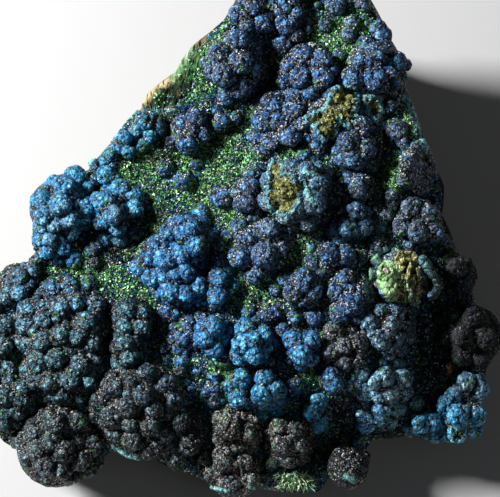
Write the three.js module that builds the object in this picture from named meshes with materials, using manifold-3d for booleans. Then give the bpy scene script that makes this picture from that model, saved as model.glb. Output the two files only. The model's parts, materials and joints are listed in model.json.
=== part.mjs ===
// A cornetite specimen: a slab of host rock with a green druse on its upper face, and blue mounds of
// intergrown nodules that stand on it. Millimetres, +Z up, the cut underside on Z = 0.
//
// The face was read from a picture of the specimen. Places on it are given as picture points, [across, down],
// and are turned into millimetres by PICTURE_POINT, so each mound is a short list of nodules read by eye:
// [across, down, radius], all in picture points.

import * as THREE from 'three';
import { mergeVertices } from 'three/addons/utils/BufferGeometryUtils.js';
import Module from 'manifold-3d';

const wasm = await Module();
wasm.setup();

// Driving dimensions, in millimetres and degrees
const PICTURE_WIDTH = 75; // how much of the specimen the picture's 500 points span
const PICTURE_POINT = PICTURE_WIDTH / 500;
const PICTURE_MIDDLE = [250, 248.5];
const VIEW_DISTANCE = 420; // from the middle of the face to the eye
const VIEW_ELEVATION = 65; // of the line of sight above the ground
const FACE_LEAN = 17; // how far the face leans back from square to the line of sight
const FACE_PLACE = [1.5, -10, 18.5]; // the middle of the picture's face, over the middle of the underside
const GAP = 0.3; // between the rock and the mounds that stand on it, and between mounds
const SEAT = 0.3; // how far a nodule's middle stands over its ground, as a share of its radius
const NO_SWELL = [0, 0, 1, 0];
const FLATTER_RAYS = 0.75; // draws more of a lobe's corners towards its foot
const MEDIUM_FOOT = 25; // picture points of foot from which a lobe has finer faces
const LARGE_FOOT = 45;
const FULLNESS = 1.22; // makes up for flat faces lying inside the round forms
const FACE_BUMP = { height: 0.3, length: 2.1 }; // the unevenness of the rock's face, in mm
const SIDE_BUMPS = [{ height: 1.1, length: 4.3 }, { height: 0.4, length: 1.5 }]; // and of its broken sides
const TINY = 1e-9; // keeps a division from having nothing to divide by
const SHARED = 1e-4; // mm within which two corners are one
const GROUND = 400; // side of the block that cuts the underside flat
const ROCK_COLOUR = 0x5a8a58;

const radians = THREE.MathUtils.degToRad;

// The line of sight points along the face frame's -Z, and its X stays level
const FACE_TO_PART = new THREE.Matrix4()
  .makeRotationX(radians(90 - VIEW_ELEVATION))
  .setPosition(...FACE_PLACE);

// A point of the picture at a height towards the eye, in the face's own frame
function facePoint(across, down, height) {
  const reach = (PICTURE_POINT * (VIEW_DISTANCE - height)) / VIEW_DISTANCE;
  return new THREE.Vector3(
    (across - PICTURE_MIDDLE[0]) * reach,
    (PICTURE_MIDDLE[1] - down) * reach,
    height,
  );
}

// The same point in the part's frame
function place(across, down, height) {
  return facePoint(across, down, height).applyMatrix4(FACE_TO_PART);
}

// The rock's face: [across, down, height in mm], read where the ground between the mounds rises or falls
const RELIEF = [
  [250, 250, 0], [300, 200, 1.5], [350, 120, 1.5], [330, 30, 0.2], [240, 50, 0.6], [200, 130, -0.4],
  [160, 138, -2.6], [128, 132, -1.4], [170, 190, -1.8], [110, 200, -2.0], [60, 210, -3.0], [40, 280, -3.2],
  [0, 300, -4.6], [70, 330, -2.4], [15, 380, -4.0], [0, 440, -6.2], [60, 445, -5.4], [100, 470, -7.6],
  [130, 380, -2.2], [150, 440, -4.6], [200, 430, -5.2], [230, 485, -8.2], [300, 440, -4.8], [300, 490, -8.2],
  [250, 350, 0], [300, 360, 0], [360, 370, 0], [400, 330, 0.6], [420, 400, -3.6], [380, 442, -7.2],
  [440, 300, -4.6], [440, 350, -8.4], [475, 335, -9.0], [460, 420, -8.4], [420, 250, 0], [446, 222, -3.2],
  [400, 150, 0], [432, 165, -3.0], [385, 60, 0.2], [410, 90, -2.4], [180, 240, -0.6], [130, 290, -2.0],
  [268, 75, -2.8], [303, 20, -2.2], [348, 468, -9.0], [395, 240, 0.2],
];
const RELIEF_REACH = 30; // picture points over which one reading gives way to the next

// Each reading weighs in by a bell curve of its distance
function reliefAt(across, down) {
  let sum = 0;
  let weights = TINY;
  for (const [a, d, height] of RELIEF) {
    const weight = Math.exp(-((across - a) ** 2 + (down - d) ** 2) / (2 * RELIEF_REACH ** 2));
    sum += weight * height;
    weights += weight;
  }
  const lean = (PICTURE_MIDDLE[1] - down) * PICTURE_POINT * Math.tan(radians(FACE_LEAN));
  return sum / weights - lean;
}

// Repeatable unevenness between -1 and 1, smooth over the given length
function uneven(x, y, z, length) {
  const a = Math.sin(x / length + 1.7 * Math.sin(y / length + 0.6) + 4.1);
  const b = Math.sin(y / length + 1.3 * Math.sin(z / length + 2.2) + 1.3);
  const c = Math.sin(z / length + 1.9 * Math.sin(x / length + 3.9) + 0.4);
  return (a + b + c) / 3;
}

// A closed geometry as a solid: shared corners merged, and triangles without area left out
function solidOf(geometry) {
  geometry.deleteAttribute('normal');
  geometry.deleteAttribute('uv');
  const merged = mergeVertices(geometry, SHARED);
  const corners = merged.index.array;
  const kept = [];
  for (let i = 0; i < corners.length; i += 3) {
    const [a, b, c] = [corners[i], corners[i + 1], corners[i + 2]];
    if (a !== b && b !== c && c !== a) kept.push(a, b, c);
  }
  return new wasm.Manifold(
    new wasm.Mesh({
      numProp: 3,
      vertProperties: new Float32Array(merged.attributes.position.array),
      triVerts: new Uint32Array(kept),
    }),
  );
}

function geometryOf(solid) {
  const mesh = solid.getMesh();
  const geometry = new THREE.BufferGeometry();
  geometry.setAttribute('position', new THREE.BufferAttribute(mesh.vertProperties.slice(), 3));
  geometry.setIndex(new THREE.BufferAttribute(mesh.triVerts.slice(), 1));
  return geometry;
}

// The edge of the rock as the picture's line of sight meets it, clockwise from the top
const ROCK_OUTLINE = [
  [262, -20], [290, -26], [330, -22], [366, -8], [390, 38], [404, 62], [406, 88], [416, 112], [425, 145],
  [436, 168], [444, 185], [442, 215], [456, 248], [470, 272], [474, 300], [484, 330], [486, 372], [480, 408],
  [462, 432], [420, 432], [372, 440], [352, 470], [330, 478], [318, 492], [285, 492], [255, 487], [225, 490],
  [190, 474], [150, 456], [118, 444], [98, 460], [62, 472], [30, 456], [4, 442], [-18, 415], [-24, 370],
  [-22, 330], [-10, 302], [12, 280], [38, 252], [44, 232], [46, 205], [66, 184], [88, 170], [108, 146],
  [143, 104], [147, 94], [175, 72], [190, 48], [210, 32], [224, 20], [240, -6],
];
const ROCK_MIDDLE = [262, 262];
const ROCK_SIDES = 34;

// How far the outline is from the rock's middle in one direction, in picture points
function outlineReach(angle) {
  const [east, north] = [Math.cos(angle), Math.sin(angle)];
  let reach = 0;
  for (let i = 0; i < ROCK_OUTLINE.length; i++) {
    const next = ROCK_OUTLINE[(i + 1) % ROCK_OUTLINE.length];
    const [ax, ay] = [ROCK_OUTLINE[i][0] - ROCK_MIDDLE[0], ROCK_MIDDLE[1] - ROCK_OUTLINE[i][1]];
    const [bx, by] = [next[0] - ROCK_MIDDLE[0], ROCK_MIDDLE[1] - next[1]];
    const across = (ax * (by - ay) - ay * (bx - ax)) / (east * (by - ay) - north * (bx - ax) || TINY);
    const along = Math.abs(bx - ax) > Math.abs(by - ay)
      ? (across * east - ax) / (bx - ax)
      : (across * north - ay) / (by - ay);
    if (along >= -TINY && along <= 1 + TINY) reach = Math.max(reach, across);
  }
  return reach;
}

// Rings of the rock, from the middle of its face to its edge: [share of the outline, mm below the face]
const FACE_RINGS = [[0.22, 0], [0.44, 0], [0.64, 0], [0.82, 0.05], [0.95, 0.5]];
const SIDE_DEPTHS = [2.4, 6.5, 13, 21, 50]; // rings of the outline itself, down its sides
const SIDE_SLOPE = 7; // degrees that the sides draw in behind the edge
const BACK_SLOPE = 17; // more degrees at the back, where the side is high
const FACE_OUTWARD = 2; // how far a bump of the face points up, for one sideways

function bumpAt({ x, y, z }, bumps) {
  return bumps.reduce((sum, { height, length }) => sum + height * uneven(x, y, z, length), 0);
}

// The slab as a turned form whose rings are drawn out to the outline, raised by swell on every side
function rockGeometry(swell) {
  const sides = SIDE_DEPTHS.map((depth) => [1, depth]);
  const rings = [[0, 0], ...FACE_RINGS, ...sides, [0, SIDE_DEPTHS.at(-1)]].reverse();
  const profile = rings.map(([share, depth]) => new THREE.Vector2(share, -depth));
  const geometry = new THREE.LatheGeometry(profile, ROCK_SIDES);
  const position = geometry.attributes.position;
  for (let side = 0; side <= ROCK_SIDES; side++) {
    const angle = (2 * Math.PI * (side % ROCK_SIDES)) / ROCK_SIDES;
    const [east, north] = [Math.cos(angle), Math.sin(angle)];
    const edge = outlineReach(angle);
    const slope = Math.tan(radians(SIDE_SLOPE + BACK_SLOPE * Math.max(0, north) ** 2));
    rings.forEach(([share, depth], ring) => {
      const drawnIn = Math.max(0, depth - SIDE_DEPTHS[0]) * slope;
      const reach = share * (edge - drawnIn / PICTURE_POINT);
      const across = ROCK_MIDDLE[0] + reach * east;
      const down = ROCK_MIDDLE[1] - reach * north;
      const point = place(across, down, reliefAt(across, down) - depth);
      if (share > 0) {
        const onFace = share < 1;
        const outward = new THREE.Vector3(east, north, onFace ? FACE_OUTWARD : 0).normalize();
        point.addScaledVector(outward, bumpAt(point, onFace ? [FACE_BUMP] : SIDE_BUMPS));
      }
      position.setXYZ(side * rings.length + ring, point.x, point.y, point.z);
    });
  }
  if (swell) {
    geometry.computeVertexNormals();
    const normal = averagedNormals(geometry);
    for (let i = 0; i < position.count; i++) {
      position.setXYZ(
        i,
        position.getX(i) + swell * normal[i].x,
        position.getY(i) + swell * normal[i].y,
        position.getZ(i) + swell * normal[i].z,
      );
    }
  }
  return geometry;
}

// One outward direction for all corners that share a place
function averagedNormals(geometry) {
  const { position, normal } = geometry.attributes;
  const sums = new Map();
  const keys = [];
  for (let i = 0; i < position.count; i++) {
    const key = [position.getX(i), position.getY(i), position.getZ(i)].map((n) => n.toFixed(3)).join();
    keys.push(key);
    if (!sums.has(key)) sums.set(key, new THREE.Vector3());
    sums.get(key).add(new THREE.Vector3().fromBufferAttribute(normal, i));
  }
  return keys.map((key) => sums.get(key).clone().normalize());
}

// The height of a lobe's swelling over the ground: it rises like a cap over a round foot
function swellAt(across, down, [a, d, foot, rise]) {
  const share = 1 - ((across - a) ** 2 + (down - d) ** 2) / foot ** 2;
  return share > 0 ? rise * Math.sqrt(share) : 0;
}

// A nodule as a ball in the face's own frame, seated on its lobe's swelling
function ballOf([across, down, radius], swell) {
  const size = radius * PICTURE_POINT * FULLNESS;
  const height = reliefAt(across, down) + swellAt(across, down, swell) + SEAT * size;
  return { centre: facePoint(across, down, height), radii: new THREE.Vector3(size, size, size) };
}

// How far a ray from start leaves a ball or a flattened ball behind, or 0 if it misses
function exitDistance(start, direction, { centre, radii }) {
  const from = start.clone().sub(centre).divide(radii);
  const way = direction.clone().divide(radii);
  const along = from.dot(way);
  const square = along ** 2 - way.lengthSq() * (from.lengthSq() - 1);
  return square > 0 ? (Math.sqrt(square) - along) / way.lengthSq() : 0;
}

// A ball of flat faces for a lobe, with more of them where its foot, in picture points, is larger
function ballFor(foot) {
  if (foot >= LARGE_FOOT) return new THREE.IcosahedronGeometry(1, 2);
  if (foot >= MEDIUM_FOOT) return new THREE.OctahedronGeometry(1, 3);
  return new THREE.OctahedronGeometry(1, 2);
}

// One lobe: a ball of flat faces whose corners are drawn out to its swelling and nodules
function lobeSolid([swell, nodules], grow) {
  const [across, down, foot, rise] = swell;
  const centre = facePoint(across, down, reliefAt(across, down));
  const width = foot * PICTURE_POINT * FULLNESS;
  const swelling = { centre, radii: new THREE.Vector3(width, width, rise) };
  const forms = [swelling, ...nodules.map((nodule) => ballOf(nodule, swell))];
  const geometry = ballFor(foot);
  geometry.rotateZ(across);
  const position = geometry.attributes.position;
  const direction = new THREE.Vector3();
  for (let i = 0; i < position.count; i++) {
    direction.fromBufferAttribute(position, i);
    direction.z *= FLATTER_RAYS;
    direction.normalize();
    const reach = Math.max(...forms.map((form) => exitDistance(centre, direction, form)));
    const point = centre.clone().addScaledVector(direction, reach + grow).applyMatrix4(FACE_TO_PART);
    position.setXYZ(i, point.x, point.y, point.z);
  }
  return solidOf(geometry);
}

function moundSolid({ lobes }, grow = 0) {
  return wasm.Manifold.union(lobes.map((lobe) => lobeSolid(lobe, grow)));
}

// Small nodules that stand alone, as one solid
function loneSolid(nodules, grow = 0) {
  const solids = nodules.map((nodule) => {
    const { centre, radii } = ballOf(nodule, NO_SWELL);
    const geometry = new THREE.IcosahedronGeometry(radii.x + grow, 0);
    centre.applyMatrix4(FACE_TO_PART);
    geometry.rotateX(centre.x);
    geometry.rotateZ(centre.y);
    geometry.translate(centre.x, centre.y, centre.z);
    return solidOf(geometry);
  });
  return wasm.Manifold.union(solids);
}

// Blue nodules that stand alone in the green druse and are grown into it
const LONE_NODULES = [
  [165, 167, 9], [183, 180, 10], [221, 196, 12], [334, 6, 11], [350, 28, 12], [274, 313, 11], [295, 317, 10],
  [214, 388, 11], [295, 386, 12], [396, 130, 12], [220, 123, 10],
];

// The mounds. A mound is one or more lobes grown together, and a lobe is a swelling, [across, down, foot,
// rise in mm], with its nodules, [across, down, radius].
const MOUNDS = {
  edge_strip: {
    colour: 0x2f78b8,
    lobes: [
      [[146, 124, 16, 1.4], [[150, 118, 10], [143, 124, 11], [134, 131, 9], [142, 145, 10]]],
      [[123, 142, 14, 1.2], [[122, 137, 11], [128, 152, 9], [109, 154, 10]]],
    ],
  },
  left_knob: {
    colour: 0x2d6ebe,
    lobes: [
      [[60, 208, 28, 4.4], [
        [75, 177, 13], [62, 184, 11], [42, 201, 13], [44, 214, 12], [60, 205, 12], [70, 219, 10],
        [70, 232, 10], [50, 237, 11], [58, 246, 10], [84, 208, 10], [86, 188, 9], [72, 258, 10],
        [85, 222, 9], [92, 250, 9],
      ]],
    ],
  },
  heart_knob: {
    colour: 0x2d72c2,
    lobes: [
      [[113, 208, 22, 3.4], [
        [105, 203, 13], [113, 214, 12], [132, 198, 13], [120, 189, 11], [106, 175, 11], [117, 228, 10],
        [104, 238, 9], [136, 232, 9], [120, 240, 9], [100, 222, 9],
      ]],
    ],
  },
  lower_crest: {
    colour: 0x26466f,
    lobes: [
      [[189, 130, 21, 2.2], [[196, 118, 13], [180, 122, 11], [188, 143, 14], [176, 134, 9], [204, 134, 9]]],
    ],
  },
  upper_crest: {
    colour: 0x2a3f72,
    lobes: [
      [[235, 63, 28, 2.8], [
        [238, 42, 14], [220, 54, 13], [241, 62, 14], [224, 75, 14], [241, 86, 13], [254, 66, 11],
        [228, 92, 10], [213, 72, 9], [253, 46, 9],
      ]],
    ],
  },
  top_crest: {
    colour: 0x2e4678,
    lobes: [
      [[258, 12, 22, 1.8], [
        [240, 14, 11], [256, 0, 12], [264, 22, 11], [248, 25, 9], [272, 4, 10], [262, -12, 10],
      ]],
      [[288, 20, 22, 1.6], [
        [288, 2, 12], [286, 24, 12], [284, 44, 13], [302, -8, 11], [296, 14, 9], [296, 34, 9],
      ]],
    ],
  },
  north_mound: {
    colour: 0x2c4a86,
    lobes: [
      [[307, 70, 27, 2.8], [
        [304, 56, 13], [320, 60, 12], [300, 76, 13], [320, 77, 13], [286, 79, 11], [310, 90, 10],
        [292, 66, 10], [330, 70, 8],
      ]],
      [[280, 116, 28, 2.4], [
        [293, 96, 10], [273, 104, 13], [292, 109, 12], [263, 121, 12], [279, 122, 11], [289, 136, 12],
        [271, 139, 11], [257, 136, 10], [262, 151, 10], [300, 124, 9],
      ]],
      [[334, 112, 26, 2.2], [
        [336, 96, 11], [348, 104, 11], [332, 117, 12], [321, 131, 11], [312, 117, 10], [346, 120, 9],
        [305, 154, 10], [306, 140, 9], [318, 147, 9],
      ]],
    ],
  },
  north_east_mound: {
    colour: 0x2b4580,
    lobes: [
      [[375, 70, 28, 2.6], [
        [377, 55, 14], [396, 62, 11], [354, 77, 13], [377, 80, 14], [391, 82, 10], [372, 100, 10],
        [361, 60, 10], [366, 44, 10], [383, 36, 10],
      ]],
    ],
  },
  east_mound: {
    colour: 0x2b4a80,
    lobes: [
      [[360, 143, 24, 2.4], [
        [377, 124, 11], [362, 127, 11], [350, 143, 11], [356, 158, 12], [368, 148, 10], [345, 160, 9],
      ]],
    ],
  },
  east_ball: {
    colour: 0x2c4c84,
    lobes: [
      [[362, 188, 13, 1.4], [[362, 187, 14], [352, 180, 8], [376, 194, 8]]],
    ],
  },
  middle_dome: {
    colour: 0x2a5a9a,
    lobes: [
      [[298, 194, 32, 4.4], [
        [312, 202, 14], [318, 186, 11], [307, 172, 11], [294, 166, 10], [307, 221, 10], [286, 216, 11],
        [270, 182, 10], [270, 202, 11], [288, 190, 14], [297, 205, 11], [278, 170, 10], [322, 214, 9],
      ]],
    ],
  },
  middle_west_mound: {
    colour: 0x2c5288,
    lobes: [
      [[248, 196, 15, 1.4], [[247, 186, 11], [244, 203, 11], [238, 192, 9], [255, 214, 8]]],
    ],
  },
  middle_left_mound: {
    colour: 0x2c5088,
    lobes: [
      [[260, 250, 26, 2.2], [
        [238, 228, 10], [250, 236, 10], [268, 231, 14], [283, 234, 10], [265, 255, 14], [240, 257, 12],
        [256, 274, 11], [279, 248, 9],
      ]],
    ],
  },
  small_dome: {
    colour: 0x2f62a6,
    lobes: [
      [[352, 222, 18, 2], [[356, 213, 12], [363, 226, 11], [349, 228, 11], [335, 230, 10], [338, 241, 9]]],
    ],
  },
  right_edge_mound: {
    colour: 0x28406e,
    lobes: [
      [[417, 168, 18, 1.8], [[420, 151, 11], [413, 168, 14], [421, 184, 12], [405, 180, 9], [428, 168, 9]]],
    ],
  },
  right_corner_mound: {
    colour: 0x2a4270,
    lobes: [
      [[418, 222, 22, 2], [
        [392, 199, 11], [412, 209, 12], [428, 214, 11], [433, 231, 11], [418, 231, 12], [403, 226, 11],
        [412, 243, 9], [386, 214, 9],
      ]],
    ],
  },
  centre_mound: {
    colour: 0x2d5080,
    lobes: [
      [[336, 256, 18, 1.6], [[329, 254, 12], [345, 255, 11], [314, 263, 10], [322, 270, 9], [356, 262, 8]]],
      [[303, 285, 18, 2.2], [[303, 281, 13], [313, 290, 10], [294, 293, 10], [286, 280, 9], [302, 299, 8]]],
    ],
  },
  middle_right_mound: {
    colour: 0x2f5482,
    lobes: [
      [[350, 296, 24, 2.2], [
        [345, 279, 11], [338, 292, 10], [352, 302, 14], [339, 313, 11], [362, 292, 10], [358, 316, 9],
      ]],
    ],
  },
  broken_boss: {
    colour: 0x82aa64,
    lobes: [
      [[400, 278, 29, 4], [
        [387, 272, 14], [388, 291, 12], [411, 266, 12], [413, 287, 14], [425, 300, 8], [431, 268, 9],
        [436, 283, 9], [433, 295, 8], [400, 256, 9],
      ]],
    ],
  },
  lower_right_dome: {
    colour: 0x34608c,
    lobes: [
      [[392, 329, 28, 3.8], [
        [371, 322, 12], [381, 310, 11], [397, 310, 11], [392, 324, 12], [408, 330, 12], [400, 347, 12],
        [383, 338, 12], [415, 345, 9], [416, 316, 9],
      ]],
    ],
  },
  speckled_mound: {
    colour: 0x4a4d60,
    lobes: [
      [[344, 346, 24, 1.6], [
        [334, 332, 11], [358, 343, 11], [359, 358, 10], [330, 351, 10], [345, 346, 10], [346, 362, 9],
      ]],
    ],
  },
  right_front_mound: {
    colour: 0x356594,
    lobes: [
      [[394, 388, 25, 2.8], [
        [363, 375, 11], [368, 392, 12], [387, 378, 12], [403, 380, 12], [396, 396, 11], [419, 402, 10],
        [414, 390, 9], [352, 388, 8],
      ]],
      [[384, 414, 20, 2.2], [[398, 409, 12], [381, 411, 12], [367, 416, 12]]],
    ],
  },
  flank_dome: {
    colour: 0x2c4a6c,
    lobes: [
      [[460, 276, 16, 1.6], [[463, 286, 11], [457, 268, 11], [450, 256, 8]]],
      [[472, 336, 28, 4], [
        [463, 300, 11], [450, 316, 12], [474, 318, 14], [484, 338, 13], [464, 336, 13], [480, 358, 12],
        [462, 356, 12], [446, 338, 9],
      ]],
    ],
  },
  flank_cluster: {
    colour: 0x3a86b8,
    lobes: [
      [[466, 388, 18, 2], [[467, 382, 11], [479, 389, 11], [454, 395, 10]]],
      [[460, 416, 20, 2.6], [
        [446, 406, 11], [459, 416, 13], [475, 415, 12], [457, 432, 11], [443, 432, 10], [474, 430, 9],
      ]],
      [[427, 424, 14, 1.6], [[434, 422, 9], [421, 424, 10], [410, 430, 8]]],
    ],
  },
  left_ball: {
    colour: 0x3a7ec2,
    lobes: [
      [[211, 335, 17, 2.8], [[213, 327, 12], [204, 338, 11], [214, 348, 10]]],
    ],
  },
  middle_ball: {
    colour: 0x3a80c4,
    lobes: [
      [[252, 342, 21, 3.4], [
        [246, 329, 12], [243, 344, 12], [254, 353, 12], [262, 336, 11], [253, 340, 11],
      ]],
    ],
  },
  right_ball: {
    colour: 0x3876bc,
    lobes: [
      [[302, 349, 18, 3], [[293, 340, 11], [301, 353, 12], [311, 341, 11], [311, 358, 9]]],
    ],
  },
  slope_mound: {
    colour: 0x2f5c90,
    lobes: [
      [[184, 336, 16, 1.6], [[187, 325, 10], [181, 343, 11], [176, 314, 9], [186, 360, 10]]],
    ],
  },
  lower_balls: {
    colour: 0x35689e,
    lobes: [
      [[240, 389, 16, 2.2], [[240, 379, 11], [239, 399, 11], [248, 410, 8]]],
      [[266, 392, 19, 2.8], [
        [265, 379, 11], [276, 391, 11], [262, 395, 12], [260, 413, 11], [276, 408, 10],
      ]],
    ],
  },
  small_ball: {
    colour: 0x3c7cc0,
    lobes: [
      [[332, 380, 12, 1.8], [[331, 375, 9], [334, 385, 10]]],
    ],
  },
  lower_finger: {
    colour: 0x376ca8,
    lobes: [
      [[317, 413, 14, 1.8], [[319, 402, 10], [312, 413, 10], [318, 424, 10]]],
    ],
  },
  front_mound: {
    colour: 0x4a4d48,
    lobes: [
      [[238, 431, 24, 3], [[230, 427, 15], [248, 434, 12], [222, 440, 10], [262, 430, 9], [238, 446, 9]]],
      [[288, 442, 24, 3], [
        [280, 429, 12], [295, 431, 12], [283, 446, 13], [300, 445, 11], [290, 458, 11], [272, 462, 9],
        [308, 432, 8],
      ]],
      [[234, 472, 24, 2.8], [
        [225, 462, 13], [244, 464, 11], [230, 486, 13], [250, 478, 11], [212, 474, 10], [206, 458, 9],
      ]],
    ],
  },
  central_lobe: {
    colour: 0x3272c4,
    lobes: [
      [[186, 238, 25, 3.8], [
        [187, 229, 15], [195, 244, 13], [170, 232, 11], [180, 254, 13], [200, 212, 10], [204, 262, 9],
      ]],
      [[162, 262, 26, 3], [[158, 246, 12], [165, 260, 13], [141, 266, 12], [152, 277, 11]]],
      [[178, 284, 24, 2.8], [
        [167, 276, 12], [184, 272, 12], [198, 285, 11], [170, 291, 12], [184, 294, 10],
      ]],
      [[217, 287, 16, 1.8], [[218, 279, 11], [217, 296, 11], [226, 268, 9], [232, 286, 8]]],
    ],
  },
  left_margin: {
    colour: 0x2f64a4,
    lobes: [
      [[18, 285, 20, 1.8], [
        [37, 260, 10], [31, 272, 11], [19, 277, 12], [20, 292, 11], [6, 296, 11], [-6, 306, 10],
      ]],
    ],
  },
  lower_left_mound: {
    colour: 0x3f5568,
    lobes: [
      [[62, 318, 50, 3], [
        [52, 288, 11], [68, 284, 11], [88, 284, 11], [28, 309, 12], [60, 308, 12], [95, 306, 12],
        [26, 325, 12], [86, 322, 12], [44, 318, 11], [22, 343, 11], [78, 336, 11], [91, 342, 11],
        [60, 334, 11], [42, 341, 12], [76, 302, 11],
      ]],
      [[60, 366, 40, 2.2], [
        [55, 358, 12], [38, 363, 12], [80, 365, 12], [70, 380, 12], [50, 383, 12], [34, 384, 10],
        [94, 358, 9], [88, 382, 10], [60, 396, 10],
      ]],
      [[0, 345, 26, 1.6], [[4, 325, 12], [2, 346, 12], [-12, 336, 12], [-14, 358, 12], [8, 368, 10]]],
      [[4, 400, 30, 2], [
        [20, 392, 12], [5, 396, 13], [18, 410, 11], [-12, 386, 13], [2, 420, 12], [-12, 410, 11],
      ]],
    ],
  },
  finger_mound: {
    colour: 0x425c70,
    lobes: [
      [[131, 318, 20, 2.8], [[128, 309, 12], [141, 312, 10], [141, 327, 11], [125, 326, 10]]],
      [[127, 348, 18, 2.4], [[124, 343, 12], [129, 357, 11], [118, 362, 9]]],
    ],
  },
  front_west_mound: {
    colour: 0x414f5c,
    lobes: [
      [[138, 408, 46, 3.4], [
        [147, 373, 11], [167, 385, 11], [144, 396, 13], [172, 402, 12], [114, 387, 12], [100, 402, 11],
        [112, 418, 14], [128, 408, 12], [149, 426, 12], [132, 440, 12], [147, 450, 11], [154, 410, 11],
        [130, 424, 10], [130, 386, 9],
      ]],
      [[178, 430, 26, 2], [[163, 434, 12], [180, 422, 12], [190, 444, 12], [176, 460, 11]]],
    ],
  },
  front_left_lobe: {
    colour: 0x47545c,
    lobes: [
      [[58, 445, 38, 4.2], [
        [55, 425, 15], [76, 423, 12], [35, 432, 12], [51, 442, 12], [38, 450, 12], [64, 452, 13],
        [46, 464, 13], [62, 470, 11], [79, 460, 12], [91, 446, 13], [88, 467, 12], [19, 440, 11],
        [27, 456, 10],
      ]],
    ],
  },
  front_ball: {
    colour: 0x2f4a66,
    lobes: [
      [[348, 466, 18, 3], [[343, 459, 12], [356, 464, 12], [346, 474, 12]]],
    ],
  },
};

// The piece's largest body, without the crumbs that a cut leaves
function largest(solid) {
  return solid.decompose().reduce((a, b) => (a.volume() > b.volume() ? a : b));
}

function floorCut(solid) {
  const ground = new THREE.BoxGeometry(GROUND, GROUND, GROUND);
  ground.translate(0, 0, -GROUND / 2);
  return solid.subtract(solidOf(ground));
}

const rock = solidOf(rockGeometry(0));
const loneNodules = loneSolid(LONE_NODULES);
const hostRock = largest(floorCut(rock.add(loneNodules)));
const rockWithGap = solidOf(rockGeometry(GAP)).add(loneSolid(LONE_NODULES, GAP));

const specimen = new THREE.Group();

function addPiece(name, solid, colour) {
  const material = new THREE.MeshStandardMaterial({ color: colour, roughness: 0.55, metalness: 0 });
  const mesh = new THREE.Mesh(geometryOf(solid), material);
  mesh.name = name;
  specimen.add(mesh);
}

addPiece('host_rock', hostRock, ROCK_COLOUR);

let taken = rockWithGap;
for (const [name, mound] of Object.entries(MOUNDS)) {
  addPiece(name, largest(floorCut(moundSolid(mound).subtract(taken))), mound.colour);
  taken = taken.add(moundSolid(mound, GAP));
}

export default specimen;
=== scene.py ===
# A cornetite specimen in metres, +Z up: a wedge of host rock whose face carries a green druse and blue mounds
# of intergrown nodules. Places on the face are picture points, [across, down], as in the part's own frame.

import json
from collections import namedtuple
from itertools import product

import bmesh
import bpy
import numpy as np
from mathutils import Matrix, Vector


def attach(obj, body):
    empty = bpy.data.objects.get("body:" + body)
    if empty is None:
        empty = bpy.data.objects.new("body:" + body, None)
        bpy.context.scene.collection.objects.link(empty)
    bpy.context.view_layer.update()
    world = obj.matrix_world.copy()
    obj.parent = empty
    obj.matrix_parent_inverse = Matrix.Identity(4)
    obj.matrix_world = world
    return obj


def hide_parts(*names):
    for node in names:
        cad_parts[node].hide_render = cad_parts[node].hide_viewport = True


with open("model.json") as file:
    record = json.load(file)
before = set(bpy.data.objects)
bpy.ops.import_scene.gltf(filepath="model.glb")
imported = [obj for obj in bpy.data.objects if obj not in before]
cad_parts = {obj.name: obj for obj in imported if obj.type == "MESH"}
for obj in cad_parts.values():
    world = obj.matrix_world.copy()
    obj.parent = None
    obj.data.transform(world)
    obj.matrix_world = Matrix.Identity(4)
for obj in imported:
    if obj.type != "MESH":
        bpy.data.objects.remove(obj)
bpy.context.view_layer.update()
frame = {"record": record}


# The host rock
# A broken wedge of pale siltstone, sawn flat underneath. Its face is the old wall of a crack, on which the
# copper minerals grew: a thin green druse, with tan and pale green rock bare along the upper left edge.

MM = 0.001
PICTURE_WIDTH = 75 * MM  # how much of the specimen the picture's 500 points span
POINT = PICTURE_WIDTH / 500
PICTURE_MIDDLE = (250, 248.5)
EYE_DISTANCE = 420 * MM
ELEVATION = np.radians(65)  # of the line of sight above the ground
FACE_LEAN = np.radians(17)  # how far the face leans back from square to the line of sight
FACE_PLACE = np.array([1.5, -10, 18.5]) * MM
TO_EYE = np.array([0, -np.cos(ELEVATION), np.sin(ELEVATION)])
FACE_TURN = np.array([  # the face's own directions: across, up the picture, and towards the eye
    (1, 0, 0), (0, np.sin(ELEVATION), np.cos(ELEVATION)), TO_EYE,
])

RELIEF_REACH = 30  # picture points over which one reading gives way to the next
RELIEF = np.array([  # across, down, height in mm, where the ground between the mounds rises or falls
    (250, 250, 0), (300, 200, 1.5), (350, 120, 1.5), (330, 30, 0.2), (240, 50, 0.6), (200, 130, -0.4),
    (160, 138, -2.6), (128, 132, -1.4), (170, 190, -1.8), (110, 200, -2.0), (60, 210, -3.0), (40, 280, -3.2),
    (0, 300, -4.6), (70, 330, -2.4), (15, 380, -4.0), (0, 440, -6.2), (60, 445, -5.4), (100, 470, -7.6),
    (130, 380, -2.2), (150, 440, -4.6), (200, 430, -5.2), (230, 485, -8.2), (300, 440, -4.8),
    (300, 490, -8.2), (250, 350, 0), (300, 360, 0), (360, 370, 0), (400, 330, 0.6), (420, 400, -3.6),
    (380, 442, -7.2), (440, 300, -4.6), (440, 350, -8.4), (475, 335, -9.0), (460, 420, -8.4), (420, 250, 0),
    (446, 222, -3.2), (400, 150, 0), (432, 165, -3.0), (385, 60, 0.2), (410, 90, -2.4), (180, 240, -0.6),
    (130, 290, -2.0), (268, 75, -2.8), (303, 20, -2.2), (348, 468, -9.0), (395, 240, 0.2),
])
BANK = np.array([(399, 182, 2.3), (407, 160, 2.4), (415, 138, 1.8)])  # the same, for a bank at the right
BANK_REACH = 10


def bell_curves(across, down, places, reach):
    """How near picture points are to each place, from 1 at the place to 0 far off, by a bell curve."""
    away = (across[..., None] - places[:, 0]) ** 2 + (down[..., None] - places[:, 1]) ** 2
    return np.exp(-away / (2 * reach**2))


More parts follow.
